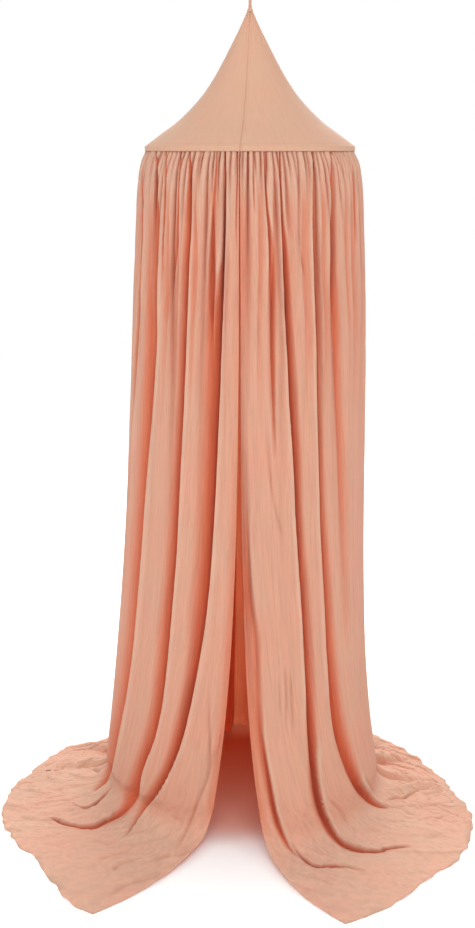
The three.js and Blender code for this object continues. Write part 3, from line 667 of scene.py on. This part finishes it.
def twisted_cotton(name, base):
    """Twisted cotton cord: matt strands with loose fibres, darker between the strands."""
    material, tree = new_material(name)
    strands = add(tree, "Mapping", {"Scale": (3.0, 300.0, 1.0)}, {"Vector": add(tree, "UVMap")})
    fibres = add(tree, "TexNoise", {"Scale": 6.0, "Detail": 4.0}, {"Vector": strands})
    tone = add(tree, "Mix", {"data_type": "RGBA", 6: tinted(base, 0.72, 0.66, 0.62),
                             7: tinted(base, 1.12, 1.12, 1.1)}, {0: fibres})
    bump = add(tree, "Bump", {"Strength": 0.5, "Distance": 0.0004}, {"Height": fibres})
    cotton = add(tree, "BsdfPrincipled", {"Roughness": 0.95, "Sheen Weight": 0.2},
                 {"Base Color": tone.outputs[2], "Normal": bump})
    add(tree, "OutputMaterial", {}, {"Surface": cotton})
    return material


def metal(name, base, roughness, scratch):
    """A metal with fine marks of how it was made: drawn, turned or plated over a brushed face."""
    material, tree = new_material(name)
    grain = add(tree, "Mapping", {"Scale": scratch},
                {"Vector": add(tree, "TexCoord").outputs["Object"]})
    marks = add(tree, "TexNoise", {"Scale": 1.0, "Detail": 5.0}, {"Vector": grain})
    tone = add(tree, "Mix", {"data_type": "RGBA", 6: tinted(base, 0.82, 0.82, 0.82),
                             7: tinted(base, 1.08, 1.08, 1.08)}, {0: marks})
    rough = add(tree, "MapRange", {"To Min": roughness - 0.08, "To Max": roughness + 0.12},
                {"Value": marks})
    bump = add(tree, "Bump", {"Strength": 0.2, "Distance": 0.0001}, {"Height": marks})
    shiny = add(tree, "BsdfPrincipled", {"Metallic": 1.0},
                {"Base Color": tone.outputs[2], "Roughness": rough, "Normal": bump})
    add(tree, "OutputMaterial", {}, {"Surface": shiny})
    return material


def studio_floor(name, base, lift):
    """Matt white painted floor: it keeps the shadow, and the camera sees the rest as white."""
    material, tree = new_material(name)
    spot = add(tree, "TexCoord").outputs["Object"]
    mottle = add(tree, "TexNoise", {"Scale": 2.0, "Detail": 2.0}, {"Vector": spot})
    tone = add(tree, "Mix", {"data_type": "RGBA", 6: tinted(base, 0.995, 0.995, 0.995),
                             7: tinted(base, 1, 1, 1)}, {0: mottle})
    flat = add(tree, "VectorMath", {"operation": "MULTIPLY", 1: (1, 1, 0)}, {0: spot})
    away = add(tree, "VectorMath", {"operation": "LENGTH"}, {0: flat}).outputs["Value"]
    # the light that comes through the cloth reddens the floor inside, most at the back
    across = add(tree, "SeparateXYZ", {}, {0: spot})
    back = add(tree, "MapRange", {"From Min": -1.3, "From Max": 0.35}, {"Value": across.outputs[1]})
    within = add(tree, "MapRange", {"From Min": 0.42, "From Max": 0.26,
                                    "interpolation_type": "SMOOTHSTEP"}, {"Value": away})
    glow = add(tree, "Math", {"operation": "MULTIPLY"}, {0: back, 1: within})
    warmed = add(tree, "Mix", {"data_type": "RGBA", 7: linear(FLOOR_GLOW)},
                 {0: glow, 6: tone.outputs[2]})
    paint = add(tree, "BsdfPrincipled", {"Roughness": 0.9, "Specular IOR Level": 0.1},
                {"Base Color": warmed.outputs[2]})
    # nothing is added inside the canopy, and the open floor rises to white
    open_floor = add(tree, "MapRange", {"From Min": 0.4, "From Max": 1.2, "To Max": lift,
                                        "interpolation_type": "SMOOTHSTEP"}, {"Value": away})
    shown = add(tree, "Math", {"operation": "MULTIPLY"},
                {0: add(tree, "LightPath").outputs["Is Camera Ray"], 1: open_floor})
    white = add(tree, "Emission", {"Color": (1, 1, 1, 1)}, {"Strength": shown})
    both = add(tree, "AddShader", {}, {0: paint, 1: white})
    add(tree, "OutputMaterial", {}, {"Surface": both})
    return material


MATERIALS = {}


def finishes():
    """The materials, made once from the colours that the user set."""
    if not MATERIALS:
        scene = bpy.context.scene
        hues, crinkle = scene.canopy_colours, scene.canopy_cloth.crinkle
        hollow_shade = hues.hollow_shade[:]
        MATERIALS.update(
            curtain=muslin("washed_double_muslin", hues.crest[:], hues.valley[:], hollow_shade, crinkle, 0.3),
            inside=muslin("muslin_lit_through", hues.inside[:], hues.inside[:], hollow_shade, crinkle, 0.7),
            crown=muslin("pressed_muslin", hues.crown[:], hues.valley[:], hollow_shade, crinkle * 0.2, 0.12),
            cord=twisted_cotton("twisted_cotton_cord", hues.cord[:]),
            steel=metal("nickel_plated_steel", hues.steel[:], 0.3, (900, 900, 60)),
            zinc=metal("zinc_plated_steel", hues.zinc[:], 0.42, (500, 500, 500)),
            rod=metal("drawn_spring_steel", hues.rod[:], 0.4, (400, 400, 900)),
            brass=metal("turned_brass", hues.brass[:], 0.34, (400, 400, 900)),
            floor=studio_floor("painted_studio_floor", hues.floor[:], scene.canopy_stage.lift),
        )
    return MATERIALS


# Cloth shapes


def fold_wave(valleys, depths, share, longest_run):
    """How far a fold stands out at shares across, as a share of its own depth, and that depth.
    The crest lies beside the outer valley, and the fold's face falls slowly to the inner one."""
    valleys, depths = np.array(valleys), np.array(depths)
    fold = np.clip(np.searchsorted(valleys, share, side="right") - 1, 0, len(depths) - 1)
    width = valleys[fold + 1] - valleys[fold]
    run = np.minimum(longest_run, 0.4 * width)
    place = np.clip(share - valleys[fold], 0, width)
    rise = np.sin(QUARTER * np.clip((place / run - 0.3) / 0.7, 0, 1)) ** RISE_POWER
    fall = np.cos(0.9999 * QUARTER * np.clip((place - run) / (width - run), 0, 1)) ** FALL_POWER
    return np.where(place < run, rise, fall), depths[fold]


def curtain_line(curtain, share, stage):
    """Radius, level, facing out and up, and fold height of the cloth at shares across and stages."""
    crest = FOOT_RADIUS * smooth_value(curtain["foot"], share)
    hem = HEM_RADIUS * smooth_value(curtain["hem"], share)
    foot = crest - FOLD_DEPTH
    power = smooth_value(curtain["flare"], share)
    spread = crest - HOOP_RADIUS - BELLY
    slope = spread * (STRAIGHT_SHARE + (1 - STRAIGHT_SHARE) * power) / COLUMN_HEIGHT
    # the column
    down = np.clip(stage, 0, 1)
    drop = down * COLUMN_HEIGHT
    grown = smooth(drop, 0, FOLD_GROW_DROP)
    eased = drop**2 / (drop + HEAD_SPRING_DROP)
    filled = (HEAD_SPRING_SHARE * (1 - np.exp(-eased / HEAD_SPRING_DROP))
              + (1 - HEAD_SPRING_SHARE) * (1 - np.exp(-eased / BELLY_DROP)))
    flared = STRAIGHT_SHARE * down + (1 - STRAIGHT_SHARE) * down**power
    column_radius = HOOP_RADIUS + BELLY * filled + spread * flared - FOLD_DEPTH * grown
    column_up = slope * down**FACE_POWER
    size = np.hypot(1, column_up)
    # the turn on to the floor: a curve through start, corner and end
    t = np.clip(stage - 1, 0, 1)
    start_level = FLOOR_LEVEL + TURN_HEIGHT
    corner = foot + slope * (start_level - CLOTH_ON_FLOOR)
    end = foot + TURN_REACH
    turn_radius = (1 - t) ** 2 * foot + 2 * t * (1 - t) * corner + t**2 * end
    turn_level = (1 - t) ** 2 * start_level + (1 - (1 - t) ** 2) * CLOTH_ON_FLOOR
    run = 2 * (1 - t) * (corner - foot) + 2 * t * (end - corner)
    fall = 2 * (1 - t) * (CLOTH_ON_FLOOR - start_level)
    turn_size = np.hypot(run, fall)
    turned = FOLD_DEPTH + (TRAIN_RIDGE - FOLD_DEPTH) * smooth(t)
    # the train
    out = np.clip(stage - 2, 0, 1)
    train_radius = end + (hem - end) * out
    column, train = stage <= 1, stage > 2
    return [np.where(column, above, np.where(train, beyond, between)) for above, between, beyond in (
        (column_radius, turn_radius, train_radius),
        (GATHER_LEVEL - drop, turn_level, CLOTH_ON_FLOOR),
        (1 / size, -fall / turn_size, 0),
        (column_up / size, run / turn_size, 1),
        (FOLD_DEPTH * grown, turned, TRAIN_RIDGE * (1 - out)))]


def photo_pixels(points):
    """Columns and rows of the photograph at which its camera sees points."""
    away = points - np.array(CAMERA_PLACE)
    right = np.array([math.cos(CAMERA_TURN), math.sin(CAMERA_TURN), 0])
    level = np.array([-math.sin(CAMERA_TURN), math.cos(CAMERA_TURN), 0])
    up = np.array([0, 0, 1]) * math.cos(CAMERA_PITCH) + level * math.sin(CAMERA_PITCH)
    ahead = level * math.cos(CAMERA_PITCH) - np.array([0, 0, 1]) * math.sin(CAMERA_PITCH)
    depth = away @ ahead
    return (PHOTO_SIZE[0] / 2 + away @ right / depth * PHOTO_PIXELS,
            PHOTO_SIZE[1] / 2 - away @ up / depth * PHOTO_PIXELS)


def beside_line(columns, rows, line):
    """Distance in pixels of points from a line, positive to its right on the way down, its further
    values at the nearest point of it, and how far along it that point lies."""
    corners = spline(line, 4)
    nearest, distance, place = (np.full_like(columns, v) for v in (1e6, 1e6, 0))
    values = np.zeros((len(columns), corners.shape[1] - 2))
    for i, (start, end) in enumerate(zip(corners, corners[1:])):
        run = end[:2] - start[:2]
        beyond = columns - start[0], rows - start[1]
        along = np.clip((beyond[0] * run[0] + beyond[1] * run[1]) / (run @ run), 0, 1)
        across, under = beyond[0] - along * run[0], beyond[1] - along * run[1]
        gap = np.hypot(across, under)
        near = gap < nearest
        nearest = np.where(near, gap, nearest)
        distance = np.where(near, np.sign(run[1] * across - run[0] * under) * gap, distance)
        place = np.where(near, (i + along) / (len(corners) - 1), place)
        here = start[2:] + along[:, None] * (end[2:] - start[2:])
        values = np.where(near[:, None], here, values)
    return distance, values, place


def valleys(columns, rows, lines):
    """Depth of the folds' valleys at points of the photograph, how much painted shade darkens their
    bottoms, and how far the cloth bulges in a lip beside each steep side, where it gets a painted
    highlight."""
    depth, bottom, lip = (np.zeros_like(columns) for _ in range(3))
    for dark, line in lines:
        distance, values, _ = beside_line(columns, rows, line)
        left, right, sunk = values.T
        width = np.where(distance < 0, left, right)
        soft = smooth(width, STEEP_WIDTH, SOFT_WIDTH)
        width = width * (0.5 + 0.5 * soft)
        gap = np.abs(distance)
        place = QUARTER * np.clip(gap / width, 0, 1)
        depth = np.maximum(depth, sunk * ((1 - soft) * np.cos(place) + soft * (1 - np.sin(place))))
        bottom = np.maximum(bottom, dark * (np.clip(2 * sunk, 0, 1) * bell(distance, VALLEY_CORE)))
        crest = (1 - soft) * bell(gap - 1.5 * width, 0.5 * width + 0.8)
        lip = np.maximum(lip, np.clip(1.2 * sunk, 0, 1) * crest)
    return depth, bottom, lip * (1 - np.clip(depth, 0, 1))


def creases(columns, rows, lines):
    """Height of the cloth's creases at points of the photograph, and how much painted shade darkens them.
    """
    height, dark = np.zeros_like(columns), np.zeros_like(columns)
    for rise, width, line in lines:
        distance, _, place = beside_line(columns, rows, line)
        shape = smooth(place, 0, 0.25) * smooth(1 - place, 0, 0.25) * bell(distance, width)
        height += rise * shape
        dark += np.clip(-rise / 0.03, 0, 0.25) * shape
    return height, dark


def cloth_share(stage):
    """How far down the cloth a stage lies, from 0 at the gathers to 1 at the hem."""
    return (0.8 * np.clip(stage, 0, 1) + 0.06 * np.clip(stage - 1, 0, 1)
            + 0.14 * np.clip(stage - 2, 0, 1))


def front_folds(name, share, line, azimuth, lying):
    """How far a front curtain stands out in the photograph's folds, how much painted shade its hollows
    and dark lines get there, and how much of a lip, which gets a painted highlight."""
    radius, level, face_out, face_up, height = line
    crest = height * (1 - (1 - MIDDLE_CREST) * smooth(share, 0.7, 1))
    columns, rows = photo_pixels(
        place_round(radius + crest * face_out, azimuth, level + crest * face_up))
    sunk, dark, lip = valleys(columns, rows, VALLEYS[name])
    creased, thin = creases(columns, rows, CREASES[name])
    seam = np.clip((share / CREST_RUN_SHARE - 0.3) / 0.7, 0, 1)
    seam = SEAM_CREST + (1 - SEAM_CREST) * np.sin(QUARTER * seam) ** RISE_POWER
    folded = crest - sunk * np.maximum(height * VALLEY_SHARE, VALLEY_ROOM)
    folded = folded * seam + CREASE_RELIEF * creased + LIP_HEIGHT * lip
    hollow_shade = (sunk / 0.9) ** (0.6 + 0.7 * lying)
    return folded, hollow_shade, dark * (1 + 1.6 * lying) + thin, lip


def back_folds(curtain, rng, share, stage, drop, height):
    """The same of a back curtain, whose few folds wander a little on their way down."""
    inner = np.clip(4 * share * (1 - share), 0, 1)
    wander = 0.010 * inner * patches(rng, share, cloth_share(stage), 6, 5)
    strayed = share + wander * smooth(drop, 0.1, 0.6)
    wave, depth = fold_wave(curtain["valleys"], curtain["depths"], strayed, CREST_RUN_SHARE)
    beside_seam = SEAM_CREST + (1 - SEAM_CREST) * wave
    wave = np.where(strayed < CREST_RUN_SHARE, beside_seam, wave)
    # painted shade in the valleys, and a painted highlight on the crests
    return height * wave * depth, height * depth * (1 - wave) / FOLD_DEPTH, 0, wave**6 * inner


def pleats(rng, share, drop, radius, cloth):
    """Depth of the fine gathers: narrow valleys that start at the hoop, widen and run out."""
    count = round(QUARTER * HOOP_RADIUS / cloth.pleat_pitch)
    depth = np.zeros_like(share)
    width = 0.0023 + np.minimum(0.016 * drop, 0.005)
    grow = 0.75 + 0.25 * smooth(drop, 0, 0.015)
    for i in range(count):
        place = (i + 0.5 + rng.uniform(-0.3, 0.3)) / count
        kind = rng.uniform()
        reach = next(rng.uniform(least, most) for up_to, least, most in PLEAT_KINDS if kind < up_to)
        lean = rng.normal(-0.05, 0.09) * (1 if reach > LONG_PLEAT else 1.8)
        bend = rng.uniform(-0.012, 0.012)
        own = cloth.pleat_depth * rng.uniform(0.65, 1.15)
        drift = lean * np.minimum(drop, 0.35) + bend * np.sin(drop * rng.uniform(4, 9))
        line = place + drift * (1 - place) * place * 4
        away = (share - line) * QUARTER * radius
        depth += own * grow * bell(drop, reach) * np.exp(-np.abs(away / width) ** 1.6)
    return depth


def small_folds(rng, share, drop):
    """Folds of middle size, into which the gathers run before they join the main folds: how far they
    stand out, how much painted shade their hollows get, and where they have started and not yet run out."""
    edges = np.concatenate([[0], np.cumsum(rng.uniform(0.55, 1.45, SMALL_FOLDS))])
    strayed = share + 0.02 * patches(rng, share, drop / 2, 5, 9) * smooth(drop, 0, 0.3)
    wave, depth = fold_wave(edges / edges[-1], rng.uniform(0.45, 1, SMALL_FOLDS), strayed, 0.016)
    fade = smooth(drop, 0.005, 0.11) * (1 - smooth(drop, 0.26, 0.72))
    return wave * depth * fade, (1 - wave) * depth * fade, fade


def texture(rng, share, down, drop, lying, crinkle):
    """Height of the cloth's ripples and wrinkles, and of its fine crinkles."""
    ripples = RIPPLE * patches(rng, share, down, 26, 7) * smooth(drop, 0.05, 0.4)
    slant = patches(rng, 0.15 + 0.7 * share + 0.45 * (down - 0.64), 0.5 * down, 40, 12)
    ripples += (WRINKLE * slant - WRINKLE_CREASE * (1 - np.abs(slant)) ** 5) * lying
    rumpled = patches(rng, share, down, 52, 18) + 0.5 * patches(rng, share, down, 90, 40)
    busy = 0.65 + 0.35 * patches(rng, share, down, 7, 5)
    return ripples, crinkle * (1 + lying) * busy * (
        0.6 * rumpled - (1 - np.clip(np.abs(rumpled), 0, 1)) ** 6)


def curtain_place(name, curtain, cloth):
    """The function that puts the shares of a curtain's grid where its cloth hangs and lies."""
    side, front = curtain["side"], curtain["front"]

    def azimuth_at(share, stage, radius):
        """Azimuth of the cloth between its side seam and its other edge."""
        parted = OPENING_TURN * cloth_share(stage) ** OPENING_POWER
        edge = side * parted if front else side * 2 * QUARTER
        edge_gap = OPENING_TOP_GAP if front else SEAM_GAP
        return azimuth_between(side * QUARTER, edge, share, radius, SEAM_GAP, edge_gap)

    def place(across, down):
        rng = np.random.default_rng(curtain["seed"])
        stage = np.interp(down, ROW_SHARES, ROW_STAGES)
        share = 1 - across if side > 0 else across
        if front:
            inward = (1 - share**8) * (1 - (1 - share) ** 2)
            share = share - inward * np.interp(stage, DRIFT_STAGES, curtain["drift"])
        line = curtain_line(curtain, share, stage)
        radius, level, face_out, face_up, height = line
        drop = np.clip(stage, 0, 1) * COLUMN_HEIGHT
        hanging, lying = 1 - smooth(stage, 1.2, 2.2), smooth(stage, 1.4, 2.2)
        if front:
            folded, hollow_shade, dark, lip = front_folds(
                name, share, line, azimuth_at(share, stage, radius), lying)
        else:
            folded, hollow_shade, dark, lip = back_folds(curtain, rng, share, stage, drop, height)
        fine = pleats(rng, share, drop, radius, cloth)
        small, small_hollow, fade = small_folds(rng, share, drop)
        ripples, crinkles = texture(rng, share, down, drop, lying, cloth.crinkle)
        out = folded - fine * hanging + ripples + crinkles
        out += HEAD_BULGE * (1 - smooth(drop, 0.04, 0.2)) + cloth.small_fold * (small - 0.6 * fade)
        ragged = sum(depth * patches(rng, share, 0 * share, count, 1) for depth, count in RAGGED_HEM)
        radius = radius + ragged * smooth(stage, 2.6, 3) * smooth(1 - share, 0, 0.04)
        # painted highlight: the lips and the crests of the gathers are spared the painted shade of the
        # faces, so they stay pale
        lip = np.maximum(lip, 0.7 * (1 - smooth(drop, 0.02, 0.16)) * (1 - fine / cloth.pleat_depth))
        # painted shade on the faces of the folds, less on the train, with that of the valleys and the
        # small folds
        tone = FACE_TONE * (1 - lip) * (1 - 0.75 * lying)
        hollow_shade = tone + (1 - tone) * hollow_shade + 0.3 * small_hollow
        # painted shade down in the fine gathers
        dark = dark + np.clip(fine * hanging / cloth.pleat_depth, 0, 1) ** 1.2
        if front:
            # the free edge is turned back, and gets painted shade
            strip = (smooth(share, 0.945, 0.995) * smooth(stage, 0.25, 0.7)
                     * (1 - smooth(stage, 1, 1.7)))
            out = out - curtain["turned"] * strip
            hollow_shade = hollow_shade + 0.25 * strip
        radius = radius + out * face_out
        level = np.maximum(level + out * face_up, LOWEST_CLOTH)
        # the two attributes carry the painted shade of the valleys, and that of the gathers and creases,
        # to the material
        return place_round(radius, azimuth_at(share, stage, radius), level), {
            "valley": np.clip(hollow_shade, 0, 1), "crease_shade": np.clip(dark, 0, 1)}

    return place


def gore_place(quarter, line):
    """The function that puts the shares of a gore's grid on the crown's outline."""
    rng = np.random.default_rng(GORE_SEED + quarter)
    run = run_along(line)
    start, end = quarter * QUARTER, (quarter + 1) * QUARTER

    def place(across, down):
        radius = np.interp(down * run[-1], run, line[:, 0])
        level = np.interp(down * run[-1], run, line[:, 1])
        azimuth = azimuth_between(start, end, across, radius, SEAM_GAP, SEAM_GAP)
        seam = np.minimum(across, 1 - across) * QUARTER * radius
        groove = 0.0009 * bell(seam, 0.0024)
        stitched = 0.0005 * bell(seam - SEAM_STITCH, 0.0013) + 0.0006 * bell(
            down * run[-1] - CASING_STITCH, 0.0014)
        near_tip = smooth(level, HOOP_LEVEL + 0.18, HOOP_LEVEL + CROWN_HEIGHT)
        pull = 0.0009 * near_tip * np.cos(across * 2 * math.pi * 4)
        sway = 0.0016 * patches(rng, across, down, 5, 5) * 4 * across * (1 - across)
        out = pull + sway - groove - stitched
        radius = np.maximum(radius + out, CROWN_TIP_RADIUS - 0.002)
        # painted shade in the seam grooves and along the stitching
        return place_round(radius, azimuth, level), {
            "crease_shade": np.clip(90 * groove + 130 * stitched, 0, 1)}

    return place


def casing_place(across, down):
    """Puts the shares of the casing's grid in a flattened tube round the hoop."""
    rng = np.random.default_rng(CASING_SEED)
    feed = CASING_FEED / HOOP_RADIUS
    azimuth = math.pi + feed + (2 * math.pi - 2 * feed) * down
    angle = 2 * math.pi * across
    ripple = 1 + 0.03 * patches(rng, across, down, 3, 90)
    # rounder at its corners than a box
    out, up = (np.sign(v) * np.abs(v) ** 0.7 for v in (np.cos(angle), np.sin(angle)))
    radius = HOOP_RADIUS + CASING_HALF[0] * ripple * out
    level = HOOP_LEVEL + CASING_HALF[1] * ripple * up
    return place_round(radius, azimuth, level), {"crease_shade": np.zeros_like(across)}


# Operators


class CANOPY_OT_stage(bpy.types.Operator):
    """Makes the camera of the photograph, the white floor and the soft lamps"""

    bl_idname = "canopy.stage"
    bl_label = "Camera, floor and lamps"

    def execute(self, context):
        scene, light = context.scene, context.scene.canopy_stage
        camera = bpy.data.objects.new("camera", bpy.data.cameras.new("camera"))
        camera.data.lens = CAMERA_LENS
        camera.data.sensor_width = CAMERA_SENSOR
        camera.location = CAMERA_PLACE
        camera.rotation_euler = (QUARTER - CAMERA_PITCH, 0, CAMERA_TURN)
        scene.collection.objects.link(camera)
        scene.camera = camera
        bm = bmesh.new()
        bmesh.ops.create_grid(bm, x_segments=8, y_segments=8, size=FLOOR_HALF)
        bmesh.ops.translate(bm, verts=bm.verts, vec=(0, 0, FLOOR_LEVEL))
        finish_mesh(bm, "studio_floor", finishes()["floor"])
        world = bpy.data.worlds.new("studio")
        scene.world = world
        world.use_nodes = True
        tree = world.node_tree
        tree.nodes.clear()
        # the lamps' fill is softer than the white that the camera and reflections see
        rays = add(tree, "LightPath").outputs
        seen = rays["Is Camera Ray"]
        for kind in ("Is Glossy Ray", "Is Transmission Ray"):
            seen = add(tree, "Math", {"operation": "MAXIMUM"}, {0: seen, 1: rays[kind]})
        strength = add(tree, "Mix", {"data_type": "FLOAT", 2: light.world, 3: 1.0}, {0: seen})
        white = add(tree, "Background", {"Color": (1, 1, 1, 1)}, {"Strength": strength})
        add(tree, "OutputWorld", {}, {"Surface": white})
        middle = Vector((0, 0, HOOP_LEVEL - LAMP_AIM_DROP))
        lamps = (
            ("key", light.key, 2.4, (0.5, -3.4, 0.6)),
            ("side_left", light.side, 1.8, (-3.0, -1.2, -0.4)),
            ("side_right", light.side * RIGHT_SHARE, 1.8, (3.0, -1.2, -0.4)),
            ("top", light.top, 4.0, (0, -0.4, 2.2)),
            ("back", light.back, 2.4, (0, 3.4, 0.6)),
        )
        for name, power, size, place in lamps:
            lamp = bpy.data.lights.new(name, "AREA")
            lamp.energy, lamp.size = power, size
            holder = bpy.data.objects.new(name, lamp)
            holder.location = place
            holder.rotation_euler = (middle - Vector(place)).to_track_quat("-Z", "Y").to_euler()
            scene.collection.objects.link(holder)
        scene.view_settings.view_transform = "Standard"
        return {"FINISHED"}


class CANOPY_OT_cord(bpy.types.Operator):
    """Makes the loop of twisted cord and the knot that holds its ends inside the crown"""

    bl_idname = "canopy.cord"
    bl_label = "Hanging cord and knot"

    def execute(self, context):
        left = [(-x, 0, z) for x, z in CORD_HALF_ROUTE]
        right = [(x, 0, z) for x, z in reversed(CORD_HALF_ROUTE)]
        path = spline([*left, (0, 0, CORD_TOP), *right], 10)
        run = float(np.linalg.norm(np.diff(path, axis=0), axis=1).sum())

        def laid(along, angle):
            twist = CORD_STRANDS * (angle + 2 * math.pi * along * run / CORD_LAY)
            return CORD_DIAMETER / 2 * (0.91 + 0.09 * np.cos(twist))

        def knotted(along, angle):
            return CORD_DIAMETER / 2 * (0.93 + 0.07 * np.cos(CORD_STRANDS * angle + 40 * along))

        cord = tube("cord_loop", path, laid, 18, finishes()["cord"])
        fit(cord, "cord", "hanging_cord")
        # a trefoil knot, which reaches 3 scales out from its centre
        centre = (KNOT_LOW + KNOT_HIGH) / 2
        scale = ((KNOT_HIGH.x - KNOT_LOW.x) / 2 - CORD_DIAMETER / 2) / 3
        turns = np.linspace(0, 2 * math.pi, 121)
        knot_path = np.stack([
            centre.x + scale * (np.sin(turns) + 2 * np.sin(2 * turns)),
            centre.y + scale * (np.cos(turns) - 2 * np.cos(2 * turns)),
            centre.z - 2.3 * scale * np.sin(3 * turns),
        ], -1)
        knot = tube("end_knot", knot_path, knotted, 14, finishes()["cord"])
        fit(knot, "canopy", "cord_knot")
        return {"FINISHED"}


class CANOPY_OT_fixing(bpy.types.Operator):
    """Finishes the ceiling plate, its screws and the hook"""

    bl_idname = "canopy.fixing"
    bl_label = "Ceiling plate, screws and hook"

    def execute(self, context):
        for node, finish in (("ceiling_plate", "steel"), ("ceiling_hook", "steel"),
                             ("plate_screw_left", "zinc"), ("plate_screw_right", "zinc")):
            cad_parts[node].data.materials[0] = finishes()[finish]
        return {"FINISHED"}


class CANOPY_OT_crown(bpy.types.Operator):
    """Makes the four gores of the crown and the binding of its tip"""

    bl_idname = "canopy.crown"
    bl_label = "Crown and its bound tip"

    def execute(self, context):
        outline = [(HOOP_RADIUS + out, HOOP_LEVEL + up) for out, up in CASING_LAP]
        outline += [(max(r * HOOP_RADIUS, CROWN_TIP_RADIUS), HOOP_LEVEL + h * CROWN_HEIGHT)
                    for r, h in zip(CROWN_RADII, CROWN_HEIGHTS)]
        line = spline(outline, 12)
        for quarter, corner in enumerate(CORNERS):
            gore = grid_piece(f"gore_{corner}", (96, 120), gore_place(quarter, line),
                              finishes()["crown"], (GORE_FLAT[0], run_along(line)[-1]), from_axis)
            solidify(gore, context.scene.canopy_cloth.thickness)
            fit(gore, "canopy", f"crown_gore_{corner}")
        self.binding()
        return {"FINISHED"}

    def binding(self):
        """The gathered tip, whipped with thread from its neck to its base."""
        low, high = BINDING_LOW.z, BINDING_HIGH.z + TIP_OVER
        path = [(0, 0, low + (high - low) * k / 60) for k in range(61)]

        def radius(along, angle):
            body = TIP_RADIUS - TIP_TAPER * smooth(along, 0.15, 0.8)
            pleat = TIP_PLEAT * np.cos(WHIPPINGS * angle) * (1 - smooth(along, 0.25, 0.4))
            thread = TIP_THREAD * np.cos(2 * math.pi * along * WHIPPINGS) * smooth(along, 0.3, 0.4)
            ends = smooth(along, 0, 0.05) * (1 - smooth(along, 0.96, 1.0) * 0.25)
            return (body + pleat + thread) * (0.85 + 0.15 * ends)

        binding = tube("bound_tip", path, radius, 66, finishes()["crown"])
        fit(binding, "canopy", "apex_binding")


class CANOPY_OT_hoop(bpy.types.Operator):
    """Makes the cloth casing and finishes the rods and sleeves inside it"""

    bl_idname = "canopy.hoop"
    bl_label = "Hoop and its casing"

    def execute(self, context):
        casing = grid_piece("casing_band", (24, 420), casing_place, finishes()["crown"], CASING_FLAT)
        self.close(casing)
        solidify(casing, context.scene.canopy_cloth.thickness)
        fit(casing, "canopy", "hoop_casing")
        rods = [f"hoop_rod_{side}" for side in ("right", "back", "left", "front")]
        for node in rods:
            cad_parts[node].data.materials[0] = finishes()["rod"]
        for corner in CORNERS:
            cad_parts[f"hoop_sleeve_{corner}"].data.materials[0] = finishes()["brass"]
        return {"FINISHED"}

    def close(self, casing):
        """Joins the casing's long edges, and turns its faces outwards."""
        bm = bmesh.new()
        bm.from_mesh(casing.data)
        bmesh.ops.remove_doubles(bm, verts=bm.verts, dist=1e-5)
        bmesh.ops.recalc_face_normals(bm, faces=bm.faces)
        face = max(bm.faces, key=lambda f: f.calc_center_median().z)
        if face.normal.z < 0:
            bmesh.ops.reverse_faces(bm, faces=bm.faces)
        bm.to_mesh(casing.data)
        bm.free()


class CANOPY_OT_curtains(bpy.types.Operator):
    """Makes the four widths of curtain, from the gathers at the hoop to the train on the floor"""

    bl_idname = "canopy.curtains"
    bl_label = "Curtains and train"

    def execute(self, context):
        cloth = context.scene.canopy_cloth
        for name, curtain in CURTAINS.items():
            piece = grid_piece(f"{name}_cloth", CURTAIN_GRID, curtain_place(name, curtain, cloth),
                               finishes()["curtain"], CURTAIN_UV, from_axis)
            thinned(piece, KEPT_FACES)
            solidify(piece, cloth.thickness, finishes()["inside"])
            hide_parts(name)
            if curtain["front"]:
                self.drawn_aside(piece, curtain["side"])
            else:
                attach(piece, "canopy")
        return {"FINISHED"}

    def drawn_aside(self, piece, side):
        """Bakes the curtain's place into its mesh; the side seam and the gathers stay on the hoop."""
        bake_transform(piece)


class CANOPY_PT_panel(bpy.types.Panel):
    """Lists the canopy's pieces and their sizes and colours"""

    bl_idname = "CANOPY_PT_panel"
    bl_label = "Bed crown canopy"
    bl_space_type = "VIEW_3D"
    bl_region_type = "UI"
    bl_category = "Canopy"

    def draw(self, context):
        for group in GROUPS:
            settings = getattr(context.scene, group)
            box = self.layout.box()
            for key in settings.__annotations__:
                box.prop(settings, key)
        for operator in OPERATORS:
            self.layout.operator(operator.bl_idname)


GROUPS = {"canopy_cloth": ClothSizes, "canopy_colours": CanopyColours, "canopy_stage": StageSettings}
OPERATORS = (CANOPY_OT_stage, CANOPY_OT_cord, CANOPY_OT_fixing, CANOPY_OT_crown, CANOPY_OT_hoop,
             CANOPY_OT_curtains)


def register():
    for cls in (*GROUPS.values(), *OPERATORS, CANOPY_PT_panel):
        bpy.utils.register_class(cls)
    for name, group in GROUPS.items():
        setattr(bpy.types.Scene, name, bpy.props.PointerProperty(type=group))


def unregister():
    for name in GROUPS:
        delattr(bpy.types.Scene, name)
    for cls in reversed((*GROUPS.values(), *OPERATORS, CANOPY_PT_panel)):
        bpy.utils.unregister_class(cls)


def main():
    register()
    bpy.ops.canopy.stage()
    bpy.ops.canopy.cord()
    bpy.ops.canopy.fixing()
    bpy.ops.canopy.crown()
    bpy.ops.canopy.hoop()
    bpy.ops.canopy.curtains()


if __name__ == "__main__":
    main()
